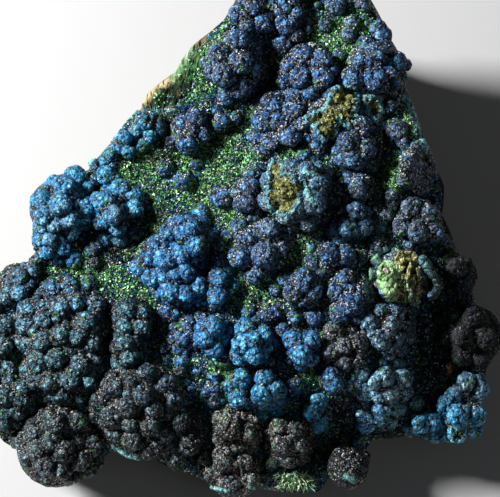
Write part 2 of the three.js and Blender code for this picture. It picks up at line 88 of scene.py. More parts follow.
def ground(across, down):
    """Height of the rock's face: the mean of the readings, each weighed by its bell curve, and the bank's own
    bell curves, less the lean of the whole face."""
    weight = bell_curves(across, down, RELIEF, RELIEF_REACH)
    height = (weight * RELIEF[:, 2]).sum(-1) / (weight.sum(-1) + 1e-9)
    height = (height + (bell_curves(across, down, BANK, BANK_REACH) * BANK[:, 2]).sum(-1)) * MM
    return height - (PICTURE_MIDDLE[1] - down) * POINT * np.tan(FACE_LEAN)


def on_face(across, down, height):
    """The face's own place of a picture point at a height: narrower as it comes nearer to the eye."""
    reach = POINT * (EYE_DISTANCE - height) / EYE_DISTANCE
    return np.stack([(across - PICTURE_MIDDLE[0]) * reach, (PICTURE_MIDDLE[1] - down) * reach, height], -1)


def picture_place(places):
    """The picture point of places in the face's frame, the way back from on_face."""
    reach = POINT * (EYE_DISTANCE - places[..., 2]) / EYE_DISTANCE
    return PICTURE_MIDDLE[0] + places[..., 0] / reach, PICTURE_MIDDLE[1] - places[..., 1] / reach


def in_part(places):
    """Places of the face's own frame turned by the elevation and set over the underside."""
    return places @ FACE_TURN + FACE_PLACE


def picture_point(points):
    """The picture point of points in the part's frame, the way back from in_part and on_face."""
    return picture_place((points - FACE_PLACE) @ FACE_TURN.T)


def draw_of(cell, seed):
    """Four repeatable numbers from 0 to 1 for each whole-number cell, by multiplying and folding its bits."""
    code = (cell * np.array([73856093, 19349663, 83492791])).sum(-1) + seed * 40503
    numbers = []
    for turn in (2654435761, 2246822519, 3266489917, 668265263):
        mixed = (code ^ (code >> 13)) * turn & 0xFFFFFFFF
        mixed = (mixed ^ (mixed >> 15)) * 2246822519 & 0xFFFFFFFF
        numbers.append((mixed ^ (mixed >> 13)) / 2**32)
    return np.stack(numbers, -1)


def grains(points, size, seed):
    """Cuts space into grains round one random middle in each cube of the given size. Gives each point's
    distance from the nearest middle and from the next one as shares of the size, the way from the nearest,
    and its number."""
    cube = np.floor(points / size).astype(np.int64)
    nearest, following = np.full(len(points), 9.0), np.full(len(points), 9.0)
    away = np.zeros((len(points), 3))
    number = np.zeros(len(points))
    for step in product((-1, 0, 1), repeat=3):
        cell = cube + step
        draw = draw_of(cell, seed)
        offset = points / size - cell - draw[:, :3]
        distance = np.sqrt((offset**2).sum(-1))
        nearer = distance < nearest
        following = np.minimum(following, np.where(nearer, nearest, distance))
        nearest = np.where(nearer, distance, nearest)
        away[nearer] = offset[nearer]
        number = np.where(nearer, draw[:, 3], number)
    return nearest, following, away, number


Cobbles = namedtuple("Cobbles", "top crease number")
COBBLE_REACH = 0.85  # radius of a cobble's ball, as a share of the size of the grains
COBBLE_MEAN = 0.6  # taken off a cobble's height, so that cobbles don't swell what they cover


def cobbles(points, size, seed, crease):
    """Round bumps that meet in creases: the cap of a ball over each grain, from 0 to 1, how deep in a crease
    the point lies, by how much nearer the nearest middle is than the next, and the grain's number."""
    nearest, following, away, number = grains(points, size, seed)
    cap = np.sqrt(np.clip(1 - (nearest / COBBLE_REACH) ** 2, 0, 1))
    return Cobbles(cap, 1 - smooth_step(0, crease, following - nearest), number)


def chips(points, size, seed):
    """Flat broken facets: each grain is a plane with a tilt of its own, about -1 to 1 over the grain."""
    nearest, following, away, number = grains(points, size, seed)
    tilt = np.stack([np.cos(number * 40), np.sin(number * 40), np.cos(number * 97)], -1)
    return (away * tilt).sum(-1)


def smooth_step(low, high, value):
    """0 below low, 1 above high and a smooth rise between them."""
    share = np.clip((value - low) / (high - low), 0, 1)
    return share * share * (3 - 2 * share)


def mix(first, second, share):
    """Colours or numbers between two, by the share of the second."""
    share = np.asarray(share)[..., None]
    return np.asarray(first) * (1 - share) + np.asarray(second) * share


def lit(colour, light):
    """A colour made darker or lighter by a number for each point."""
    return colour * light[:, None]


def linear(*screen):
    """The linear colour of three screen values out of 255, or a row of colours from a row of such threes."""
    screen = np.array(screen) / 255
    return np.where(screen < 0.04045, screen / 12.92, ((screen + 0.055) / 1.055) ** 2.4)


def unit(vectors):
    """Directions made one long, each divided by its length."""
    return vectors / np.maximum(np.linalg.norm(vectors, axis=1), 1e-12)[:, None]


def vertex_normals(points, faces):
    """Outward directions: the sum of the area vectors of the faces round each vertex, made one long."""
    corners = points[faces]
    area = np.cross(corners[:, 2] - corners[:, 0], corners[:, -1] - corners[:, 1])
    sums = [np.bincount(faces.ravel(), np.repeat(area[:, i], faces.shape[1]), len(points)) for i in range(3)]
    return unit(np.stack(sums, -1))


def placed(name, data):
    """A new object in the scene, of a mesh, a light or a camera."""
    new = bpy.data.objects.new(name, data)
    bpy.context.scene.collection.objects.link(new)
    return new


def corners_of(mesh):
    """The vertex numbers of a mesh's faces, one after another."""
    numbers = np.empty(len(mesh.loops), np.int32)
    mesh.loops.foreach_get("vertex_index", numbers)
    return numbers


MAP_LIFT = 0.35  # added to the directions' height, so that more of a piece lies on its upper disc
UPPER_DISC = (0.36, 0.33)  # middle and radius of the upper side's disc on the map
LOWER_DISC = (0.86, 0.11)


def made_piece(name, points, faces, colours, specks, material):
    """A mesh object from arrays, with its colours and its share of pale specks as the attribute tone, and a
    map for each of its two sides: the direction from its middle, as an angle from straight up or down, laid
    as a disc."""
    mesh = bpy.data.meshes.new(name)
    mesh.from_pydata(points, [], faces)
    tone = mesh.attributes.new("tone", "FLOAT_COLOR", "POINT")
    tone.data.foreach_set("color", np.column_stack([colours, specks]).astype(np.float32).ravel())
    mesh.materials.append(material)
    middle, half = (points.max(0) + points.min(0)) / 2, (points.max(0) - points.min(0)) / 2
    way = (points - middle) / half
    way[:, 2] += MAP_LIFT
    upper = np.repeat(way[faces].mean(1)[:, 2] > 0, faces.shape[1])
    way = unit(way[corners_of(mesh)])
    angle = np.arccos(np.clip(np.where(upper, way[:, 2], -way[:, 2]), -1, 1)) / (np.pi / 2)
    flat = unit(way[:, :2]) * angle[:, None]
    upper_map, lower_map = (disc[0] + disc[1] * flat for disc in (UPPER_DISC, LOWER_DISC))
    layer = mesh.uv_layers.new(name="OFBake")
    layer.uv.foreach_set("vector", np.where(upper[:, None], upper_map, lower_map).astype(np.float32).ravel())
    mesh.update()
    return placed(name, mesh)


# What grew or settled on the crust in places: bright green druse, olive patches with a pale cyan rim, and
# pale cyan edges; and painted shade, near black, deep in the gaps where shadow falls. Each is a place, a line
# or an outline in picture points.
GREEN_PLACES = np.array([  # across, down, reach, share of green: where the druse shows clean and bright
    (250, 124, 14, 0.9), (228, 138, 16, 0.95), (205, 150, 18, 0.95), (178, 158, 18, 0.95),
    (150, 164, 18, 0.95), (130, 176, 14, 0.9), (160, 196, 20, 0.8), (190, 190, 24, 0.8), (222, 172, 22, 0.9),
    (236, 208, 16, 0.7), (150, 226, 16, 0.95), (134, 256, 12, 0.9), (108, 276, 12, 0.95), (84, 268, 14, 0.9),
    (52, 270, 12, 0.8), (126, 284, 14, 0.95), (148, 296, 12, 0.8), (230, 278, 14, 0.6), (262, 294, 16, 0.7),
    (240, 300, 12, 0.7), (222, 370, 12, 1), (226, 386, 10, 1), (224, 400, 9, 0.7), (306, 378, 10, 0.9),
    (326, 390, 9, 0.8), (336, 322, 12, 0.6), (346, 34, 24, 0.95), (322, 36, 14, 0.9), (364, 48, 10, 0.9),
    (350, 62, 6, 0.9), (282, 56, 12, 0.6), (202, 78, 14, 1.0), (194, 92, 10, 0.9), (222, 24, 9, 0.9),
    (206, 52, 9, 0.9), (212, 44, 12, 0.8), (230, 116, 9, 0.8), (412, 118, 10, 0.7), (394, 172, 12, 0.8),
    (309, 240, 10, 0.7), (258, 230, 8, 0.7), (10, 370, 10, 1.0), (285, 155, 7, 0.8), (282, 92, 5, 0.8),
    (340, 170, 8, 0.4), (380, 230, 9, 0.4), (330, 300, 10, 0.4), (42, 435, 5, 0.9), (60, 408, 4, 0.8),
    (87, 418, 3, 0.8), (292, 262, 12, 0.9), (302, 250, 10, 0.9), (230, 216, 14, 0.9), (228, 246, 8, 0.9),
    (258, 285, 16, 0.9), (270, 302, 10, 0.8), (328, 278, 8, 0.6), (296, 302, 8, 0.7), (206, 204, 14, 0.9),
    (372, 166, 8, 0.7), (300, 150, 10, 0.8), (326, 162, 8, 0.6), (244, 160, 12, 0.9), (395, 124, 10, 0.7),
    (332, 46, 14, 0.9), (352, 54, 12, 0.9), (160, 100, 14, 1.0), (184, 70, 14, 1.0), (240, 22, 7, 0.7),
    (78, 262, 8, 0.8), (26, 284, 8, 0.7), (383, 50, 7, 0.5), (408, 112, 8, 0.6), (408, 124, 10, 0.9),
    (418, 142, 7, 0.9), (392, 184, 11, 1), (390, 172, 10, 1), (399, 160, 8, 1),
])
GREEN_ELSEWHERE = 0.22
SHADED_GAPS = (  # reach and the points of each deep gap, darkened as painted shade
    (5.5, (306, -14), (306, 12), (302, 36)), (6, (300, 40), (286, 46), (268, 50), (264, 62)),
    (8, (268, 62), (270, 78), (266, 92), (256, 102)), (5, (248, 110), (240, 124), (228, 134), (212, 142)),
    (9, (166, 116), (164, 130), (166, 146), (168, 158)), (5, (150, 160), (178, 158)),
    (6, (386, 132), (380, 160), (374, 186), (376, 206)), (6, (334, 176), (328, 204), (326, 228)),
    (12, (436, 268), (440, 300), (434, 340), (436, 380), (428, 404)),
    (8, (378, 438), (396, 437), (410, 434)), (8, (196, 406), (192, 430), (196, 456)),
    (5, (108, 304), (106, 326), (110, 350)), (5, (156, 320), (154, 350)), (4, (161, 393), (161, 397)),
    (4, (122, 211), (122, 213)), (7, (90, 262), (104, 266)), (5, (260, 300), (256, 320)),
    (4, (204, 124), (210, 136)), (5, (86, 236), (96, 230)),
    (9, (90, 250), (112, 252), (130, 244), (152, 216)), (6, (204, 236), (210, 262), (206, 284)),
    (12, (338, 408), (344, 430), (328, 452)), (11, (418, 322), (422, 356), (426, 384)),
    (8, (300, 466), (318, 450)), (8, (94, 257), (122, 257)),
)
DULL_PLACES = np.array([  # across, down, reach, share: where the blue is dulled to a greenish grey
    (285, 225, 34, 0.6), (262, 200, 20, 0.4), (400, 205, 42, 0.7), (345, 200, 25, 0.5), (390, 150, 25, 0.5),
    (375, 250, 20, 0.6), (392, 328, 22, 0.5), (235, 65, 26, 0.4), (300, 300, 14, 0.3), (340, 350, 16, 0.4),
    (60, 226, 16, 0.4), (116, 212, 9, 0.4), (395, 395, 18, 0.4), (350, 15, 30, 0.4), (470, 388, 13, 0.8),
])
CLEAR_PLACES = np.array([  # across, down, reach, share: where dull mounds are clear blue
    (30, 290, 16, 0.9), (60, 282, 18, 0.9), (88, 284, 16, 0.9), (36, 312, 16, 0.5), (62, 306, 16, 0.4),
    (96, 308, 14, 0.4), (142, 318, 14, 0.4), (275, 460, 9, 1), (226, 484, 14, 1), (300, 440, 9, 0.6),
    (262, 480, 8, 0.6), (464, 288, 9, 3), (144, 394, 11, 0.6), (173, 400, 10, 0.5), (167, 384, 8, 0.9),
    (147, 373, 8, 0.8), (106, 396, 10, 0.5), (365, 424, 8, 0.9), (379, 412, 7, 0.7),
])
OLIVE_PATCHES = (  # outlines of the patches of yellow-green mineral
    ((335, 92), (345, 86), (353, 90), (355, 98), (352, 110), (354, 120), (348, 124), (342, 118),
     (336, 124), (333, 136), (326, 139), (318, 130), (322, 122), (314, 124), (308, 120), (314, 116),
     (324, 112), (330, 104)),
    ((368, 100), (374, 99), (380, 110), (376, 118), (370, 112)),
    ((272, 166), (277, 162), (281, 168), (280, 178), (289, 177), (293, 184), (302, 183), (304, 189),
     (297, 192), (296, 202), (290, 211), (282, 213), (273, 208), (270, 198), (271, 182)),
    ((453, 430), (462, 431), (463, 438), (455, 440)),
)
PALE_EDGES = (  # reach and the points of each thin pale cyan edge; the last, along the right edge, is a painted highlight
    (2, (86, 168), (100, 153), (113, 137), (124, 122), (136, 111), (148, 108), (166, 111), (178, 100)),
    (1.8, (338, 116), (344, 121)), (2.5, (346, 477), (353, 480)), (1.5, (250, 487), (266, 489), (282, 490)),
    (1.5, (112, 447), (136, 459), (166, 470), (200, 483), (226, 491)), (2.2, (366, 96), (380, 98)),
    (2.2, (303, 172), (316, 176)), (2.8, (423, 260), (430, 271), (438, 283), (436, 294)),
    (2, (376, 258), (384, 250), (396, 248)), (3, (306, 188), (311, 200)),
    # A painted highlight: the right edge catching the light.
    (2.6, (405, 98), (412, 114), (419, 132), (425, 148)),
)
RUST = (2, (449, 366), (451, 378))  # reach and the points of a short rusty streak
FAR_OUTSIDE = 9  # picture points from an outline, beyond which the distance isn't worked out


def near_places(across, down, places):
    """How much of a marking there is at picture points: the most that any place gives, by its bell curve."""
    return (places[:, 3] * bell_curves(across, down, places, places[:, 2])).max(1)


def off_line(across, down, line):
    """Distance of picture points from a line through the given points."""
    nearest = np.full(len(across), np.inf)
    line = np.array(line, float)
    for start, step in zip(line[:-1], line[1:] - line[:-1]):
        east, south = across - start[0], down - start[1]
        along = np.clip((east * step[0] + south * step[1]) / (step @ step), 0, 1)
        nearest = np.minimum(nearest, (east - along * step[0]) ** 2 + (south - along * step[1]) ** 2)
    return np.sqrt(nearest)


def boxed(across, down, line, margin):
    """Which picture points are in the box round a line, with a margin."""
    low, high = np.min(line, 0) - margin, np.max(line, 0) + margin
    return (across > low[0]) & (across < high[0]) & (down > low[1]) & (down < high[1])


def beside(across, down, reach, *line):
    """How close picture points are to a line: a bell curve of their distance from it."""
    share = np.zeros(len(across))
    near = boxed(across, down, line, 3 * reach)
    share[near] = np.exp(-((off_line(across[near], down[near], line) / reach) ** 2))
    return share


def inside(across, down, outline):
    """How far picture points lie inside a closed outline, below 0 outside it: the distance from its sides,
    with the sign by how many of them a line to the right crosses."""
    depth = np.full(len(across), -float(FAR_OUTSIDE))
    near = boxed(across, down, outline, FAR_OUTSIDE)
    across, down = across[near], down[near]
    odd = np.zeros(len(across), bool)
    for (x0, y0), (x1, y1) in zip(outline, [*outline[1:], outline[0]]):
        astride = (y0 > down) != (y1 > down)
        odd ^= astride & (across < x0 + (x1 - x0) * (down - y0) / (y1 - y0 or 1))
    away = off_line(across, down, [*outline, outline[0]])
    depth[near] = np.where(odd, away, -away)
    return depth


Marks = namedtuple("Marks", "green grime olive pale dull clear")


def markings(across, down):
    """The shares of green, of painted shade in the deep gaps, of olive, of pale cyan edge, of dullness and of
    clear blue at picture points. The olive patches have ragged outlines, with the pale edge round them."""
    green = np.maximum(near_places(across, down, GREEN_PLACES), GREEN_ELSEWHERE)
    grime, pale = (np.max([beside(across, down, *line) for line in lines], 0) for lines in (SHADED_GAPS, PALE_EDGES))
    olive = np.zeros(len(across))
    for outline in OLIVE_PATCHES:
        depth = inside(across, down, outline) + 1.2 * np.sin(across * 1.1 + 2 * np.sin(down * 0.8))
        olive = np.maximum(olive, smooth_step(-0.8, 0.8, depth))
        pale = np.maximum(pale, 0.8 * np.exp(-(((depth + 2.2) / 1.4) ** 2)))
    dull, clear = (near_places(across, down, places) for places in (DULL_PLACES, CLEAR_PLACES))
    return Marks(green, grime, olive, pale, dull, clear)


ROCK_MIDDLE = (262, 262)
ROCK_OUTLINE = np.array([  # picture points of the rock's edge, clockwise from the top
    (262, -20), (290, -26), (330, -22), (366, -8), (390, 38), (404, 62), (406, 88), (416, 112), (425, 145),
    (436, 168), (444, 185), (442, 215), (456, 248), (470, 272), (474, 300), (484, 330), (486, 372),
    (480, 408), (462, 432), (420, 432), (372, 440), (352, 470), (330, 478), (318, 492), (285, 492),
    (255, 487), (225, 490), (190, 474), (150, 456), (118, 444), (98, 460), (62, 472), (30, 456), (4, 442),
    (-18, 415), (-24, 370), (-22, 330), (-10, 302), (12, 280), (38, 252), (44, 232), (46, 205), (66, 184),
    (88, 170), (108, 146), (143, 104), (147, 94), (175, 72), (190, 48), (210, 32), (224, 20), (240, -6),
])
EDGE_SHARES = (0, 0.82, 0.95, 1)  # of the way to the outline, and how far the face has sunk there
EDGE_SINKS = (0, 0.05 * MM, 0.5 * MM, 2.4 * MM)
SIDE_SLOPE = np.radians(7)  # how far the sides draw in behind the edge
BACK_SLOPE = np.radians(17)  # and more at the back, where they are high
SIDE_REACH = 50 * MM  # deeper than the underside anywhere
FACE_STEPS = 200
SIDE_STEPS = 30


def outline_reach(angle):
    """Distance of the outline from the rock's middle in a direction, in picture points."""
    east, south = (ROCK_OUTLINE - ROCK_MIDDLE).T
    spoke = np.arctan2(-south, east)
    order = np.argsort(spoke)
    return np.interp(angle, spoke[order], np.hypot(east, south)[order], period=2 * np.pi)


def rock_share_at(across, down):
    """How far picture points are on the way from the rock's middle to its outline."""
    east, north = across - ROCK_MIDDLE[0], ROCK_MIDDLE[1] - down
    return np.hypot(east, north) / outline_reach(np.arctan2(north, east))


def rock_at(share, angle, depth):
    """A point of the rock in the part's frame: a share of the way from its middle to its outline, in a
    direction, below the ground by a depth, and drawn in by the slope of the sides below the rounded edge."""
    slope = np.tan(SIDE_SLOPE + BACK_SLOPE * np.maximum(0, np.sin(angle)) ** 2)
    drawn_in = np.maximum(0, depth - EDGE_SINKS[-1]) * slope / POINT
    reach = share * (outline_reach(angle) - drawn_in)
    across, down = ROCK_MIDDLE[0] + reach * np.cos(angle), ROCK_MIDDLE[1] - reach * np.sin(angle)
    return in_part(on_face(across, down, ground(across, down) - depth))


def rock_surface():
    """The rock's points and triangles, how many of the points are its face's, and their shares of the way to
    the edge. The face is a square grid whose square rings are drawn out to the outline, the side is a band of
    columns from its last ring to the sawn underside, and the underside is a fan."""
    line = np.linspace(-1, 1, FACE_STEPS + 1)
    right, up = np.meshgrid(line, line)
    share, angle = np.maximum(abs(right), abs(up)).ravel(), np.arctan2(up, right).ravel()
    face = rock_at(share, angle, np.interp(share, EDGE_SHARES, EDGE_SINKS))
    number = np.arange(len(face)).reshape(right.shape)
    rim = np.concatenate([number[0, :-1], number[:-1, -1], number[-1, :0:-1], number[:0:-1, 0]])
    top, deep = face[rim], rock_at(np.ones(len(rim)), angle[rim], SIDE_REACH)
    to_floor = (top[:, 2] / (top[:, 2] - deep[:, 2]))[:, None]
    fall = np.linspace(0, 1, SIDE_STEPS + 1)[1:, None, None] * to_floor
    side = top + fall * (deep - top)
    side[-1, :, 2] = 0
    middle = side[-1].mean(0)
    points = np.concatenate([face, side.reshape(-1, 3), [middle]])

    first, second = number[:-1, :-1].ravel(), number[:-1, 1:].ravel()
    fourth, third = number[1:, :-1].ravel(), number[1:, 1:].ravel()
    levels = len(face) + np.arange(SIDE_STEPS * len(rim)).reshape(SIDE_STEPS, -1)
    rings = np.concatenate([[rim], levels])
    after = np.roll(rings, -1, 1)
    below, below_next = rings[1:].ravel(), after[1:].ravel()
    above, above_next = rings[:-1].ravel(), after[:-1].ravel()
    underside = np.stack([after[-1], rings[-1], np.full(len(rim), len(points) - 1)], 1)
    triangles = np.concatenate([
        np.stack([first, second, third], 1), np.stack([first, third, fourth], 1),
        np.stack([above, below, below_next], 1), np.stack([above, below_next, above_next], 1), underside,
    ])
    return points, triangles, len(face), share


SIDE_CHIPS = ((7.5 * MM, 1.3 * MM), (2.6 * MM, 0.45 * MM), (0.9 * MM, 0.12 * MM))  # sizes and heights
CHIP_SINK = 0.6  # how far the chips cut the sides back, as a share of their height
DRUSE_BUMPS = ((2.2 * MM, 0.7 * MM), (1.1 * MM, 0.35 * MM), (0.6 * MM, 0.15 * MM))
BARE_CHIPS = (0.8 * MM, 0.3 * MM)
BARE_ROCK = (  # outline of the upper left edge, where no druse grew
    (128, 112), (140, 90), (170, 60), (186, 34), (198, 30), (205, 44), (200, 60), (195, 78), (187, 96),
    (172, 109), (150, 110),
)
TAN_BIT = ((193, 42), (200, 32), (208, 32), (207, 43), (200, 47))  # outline of a tan splinter above it
TAN_RIM = (3.2, (139, 110), (147, 98), (157, 88), (170, 80))  # reach and points of a pale tan edge
GREEN_RIM = (3, (172, 78), (182, 61), (194, 44))  # and of a pale green one, further up
BROWN_EDGE = (420, 240)  # right of this and above this, the rock's last rim is bare and brown
DARK_DRUSE, BLUE_DRUSE, GREEN_DRUSE = linear((6, 10, 22), (22, 52, 100), (32, 82, 42))
# The rust's orange is brightened past its own colour, as painted light, for the streak lies in shade.
PALE_CYAN, RUST_AND_PAINTED_LIGHT = linear((120, 190, 200), (255, 190, 100))


def rock_relief(points, outward, face, share, bare):
    """How far each point is moved: chips off the sides, fading out at the edge and the underside, low cobbles
    on the face, fading out at its rim, and small chips where it is bare."""
    rough = np.zeros(len(points))
    for number, (size, height) in enumerate(SIDE_CHIPS):
        rough += np.where(face, 0, height * (chips(points, size, 11 + number) - CHIP_SINK))
    for number, (size, height) in enumerate(DRUSE_BUMPS):
        rough += np.where(face, height * (cobbles(points, size, 21 + number, 0.4).top - COBBLE_MEAN), 0)
    rough += BARE_CHIPS[1] * chips(points, BARE_CHIPS[0], 24) * bare
    ring = (np.arange(len(points)) - face.sum()) // (4 * FACE_STEPS) + 1  # of the side, counted from the edge
    side_fade = smooth_step(0, 0.3 * MM, points[:, 2]) * smooth_step(0, 4, ring)
    rough *= np.where(face, 1 - smooth_step(0.99, 1, share), side_fade)
    return np.where(face[:, None], outward, outward * (1, 1, 0)) * rough[:, None]


def rock_finish(points, triangles, on_top, share):
    """The rock roughened and coloured: druse of dark, blue and green grains with its markings, darkened in
    the creases between its bumps and in the deep gaps as painted shade, bare rock in tan and green streaks,
    and plain stone on the sides. Gives the points, each one's colour, its share of specks and each triangle's
    material."""
    face = np.arange(len(points)) < on_top
    across, down = picture_point(points)
    in_bit = smooth_step(-1, 1, inside(across, down, TAN_BIT))
    up_left = np.maximum(smooth_step(-1, 1, inside(across, down, BARE_ROCK)), in_bit)
    share = np.concatenate([share, np.zeros(len(points) - on_top)])
    points = points + rock_relief(points, vertex_normals(points, triangles), face, share, up_left)

    marks = markings(across, down)
    bump, crease, number = cobbles(points, 0.5 * MM, 31, 0.5)
    broad = cobbles(points, 5 * MM, 32, 0.5).top
    druse = mix(mix(DARK_DRUSE, BLUE_DRUSE, number), GREEN_DRUSE, (number * 7) % 1 < marks.green)
    # Painted shade: the druse darker in the creases between its bumps and in the deep gaps.
    druse = lit(druse, (1 - 0.8 * crease) * (1 - 0.85 * marks.grime))
    druse = mix(druse, lit(PALE_CYAN, 0.5 + 0.5 * number), marks.pale)
    # The rusty streak, brightened as painted light.
    druse = mix(druse, RUST_AND_PAINTED_LIGHT, beside(across, down, *RUST))
    darker = smooth_step(76, 84, down)
    streak = 0.5 + 0.5 * np.sin(1.6 * (across * 0.75 + down) + 3 * broad)
    bare = lit(mix(linear(58, 98, 62), linear(18, 40, 16), darker), 0.1 + 1.3 * number**2 + 0.4 * streak)
    bare = mix(bare, linear(104, 80, 46), 0.7 * ((number * 13) % 1 > 0.86))
    bare = mix(bare, lit(linear(150, 176, 140), 0.4 + 0.7 * streak), beside(across, down, *GREEN_RIM))
    bare = mix(bare, lit(linear(176, 160, 120), 0.7 + 0.5 * number), beside(across, down, *TAN_RIM))
    bare = mix(bare, lit(linear(104, 88, 72), 0.5 + 0.8 * number), in_bit)
    greenish = 0.6 * smooth_step(0.35, 0.85, cobbles(points, 9 * MM, 33, 0.5).top)
    stone = mix(linear(126, 112, 88), linear(76, 66, 52), smooth_step(0.2, 0.9, broad))
    stone = mix(stone, linear(72, 90, 68), greenish)
    stone = lit(stone, 0.7 + 0.4 * number)
    brown = mix(linear(58, 44, 34), linear(24, 20, 17), number)
    right = smooth_step(0.94, 0.97, share) * (across > BROWN_EDGE[0]) * (down < BROWN_EDGE[1])
    colours = mix(mix(druse, bare, up_left), brown, right)
    colours[~face] = stone[~face]
    crystal = (face[triangles].all(1)) & (up_left[triangles].mean(1) < 0.5) & (right[triangles].mean(1) < 0.5)
    return points, colours, 0.3 + 0.7 * crease, np.where(crystal, 0, 1)


def node(tree, kind, inputs, operation=None):
    """A shader node of a kind, with each input, by name or number, linked to a socket or set to a value."""
    made = tree.nodes.new("ShaderNode" + kind)
    if operation:
        made.operation = operation
    for key, value in inputs.items():
        if isinstance(value, bpy.types.NodeSocket):
            tree.links.new(value, made.inputs[key])
        else:
            made.inputs[key].default_value = value
    return made


def shader(name, roughness):
    """A new material, its nodes and its Principled surface."""
    material = bpy.data.materials.new(name)
    material.use_nodes = True
    surface = material.node_tree.nodes["Principled BSDF"]
    surface.inputs["Roughness"].default_value = roughness
    return material, material.node_tree, surface


def toned(tree, light):
    """The piece's own tone, made lighter or darker by a socket, and its share of specks."""
    tone = node(tree, "Attribute", {})
    tone.attribute_name = "tone"
    scaled = node(tree, "VectorMath", {0: tone.outputs["Color"], "Scale": light}, "SCALE")
    return scaled.outputs[0], tone.outputs["Alpha"]


def crystal_crust(name, crystal, specks, share_of_specks, tilt, roughness):
    """A crust of tiny crystals: the piece's own tone, lighter or darker from crystal to crystal, with some
    pale specks, which paint the glints of crystal facets, and facets that each face a way of their own, as
    far from the surface as tilt."""
    material, tree, surface = shader(name, roughness)
    place = node(tree, "TexCoord", {}).outputs["Object"]
    colour = node(tree, "TexVoronoi", {"Vector": place, "Scale": 1 / crystal}).outputs["Color"]
    brightness, chance, kind = node(tree, "SeparateColor", {0: colour}).outputs
    light = node(tree, "Math", {0: brightness, 1: 1.8, 2: 0.1}, "MULTIPLY_ADD").outputs[0]
    plain, speckled = toned(tree, light)
    ramp = node(tree, "ValToRGB", {0: kind})
    ramp.color_ramp.interpolation = "CONSTANT"
    while len(ramp.color_ramp.elements) < len(specks):
        ramp.color_ramp.elements.new(0.5)
    for number, (element, speck) in enumerate(zip(ramp.color_ramp.elements, specks)):
        element.position = number / len(specks)
        element.color = (*speck, 1)
    wanted = node(tree, "Math", {0: speckled, 1: share_of_specks}, "MULTIPLY").outputs[0]
    chosen = node(tree, "Math", {0: chance, 1: wanted}, "LESS_THAN").outputs[0]
    blend = node(tree, "Mix", {})
    blend.data_type = "RGBA"
    for key, socket in (("Factor", chosen), (6, plain), (7, ramp.outputs[0])):
        tree.links.new(socket, blend.inputs[key])
    tree.links.new(blend.outputs[2], surface.inputs["Base Color"])

    spread = {0: colour, 1: (2 * tilt,) * 3, 2: (-tilt,) * 3}
    spread = node(tree, "VectorMath", spread, "MULTIPLY_ADD").outputs[0]
    normal = node(tree, "NewGeometry", {}).outputs["Normal"]
    turned = node(tree, "VectorMath", {0: normal, 1: spread}, "ADD").outputs[0]
    facing = node(tree, "VectorMath", {0: turned}, "NORMALIZE").outputs[0]
    tree.links.new(facing, surface.inputs["Normal"])
    surface.inputs["IOR"].default_value = 1.5
    return material


def broken_stone(name):
    """Dull broken siltstone: its own tone with a fine grain, and a grainy bump."""
    material, tree, surface = shader(name, 0.85)
    place = node(tree, "TexCoord", {}).outputs["Object"]
    grain = node(tree, "TexNoise", {"Vector": place, "Scale": 1 / (0.5 * MM), "Detail": 6}).outputs[0]
    light = node(tree, "Math", {0: grain, 1: 0.9, 2: 0.55}, "MULTIPLY_ADD").outputs[0]
    bump = node(tree, "Bump", {"Height": grain, "Strength": 0.7, "Distance": 0.15 * MM}).outputs[0]
    tree.links.new(toned(tree, light)[0], surface.inputs["Base Color"])
    tree.links.new(bump, surface.inputs["Normal"])
    surface.inputs["Specular IOR Level"].default_value = 0.2
    return material


CRYSTAL = 0.2 * MM
# Speck colours; the palest of them paint glints of crystal facets.
GREEN_SPECKS = linear((190, 220, 160), (60, 120, 190), (235, 235, 215), (120, 190, 110))
druse_crust = crystal_crust("green_crystals", CRYSTAL, GREEN_SPECKS, 0.16, 0.8, 0.38)
rock_points, rock_triangles, rock_top, rock_share = rock_surface()
rock_points, *rock_looks, rock_material = rock_finish(rock_points, rock_triangles, rock_top, rock_share)
host_rock = made_piece("host_rock_surface", rock_points, rock_triangles, *rock_looks, druse_crust)
host_rock.data.materials.append(broken_stone("broken_siltstone"))
host_rock.data.polygons.foreach_set("material_index", rock_material.astype(np.int32))
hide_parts("host_rock")
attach(host_rock, "root")


# The blue mounds
# Cornetite that grew on the rock as grape-like nodules, crowded into mounds and covered all over by crystals
# a fifth of a millimetre across. Each mound is parted from the next by a green valley or a dark gully.

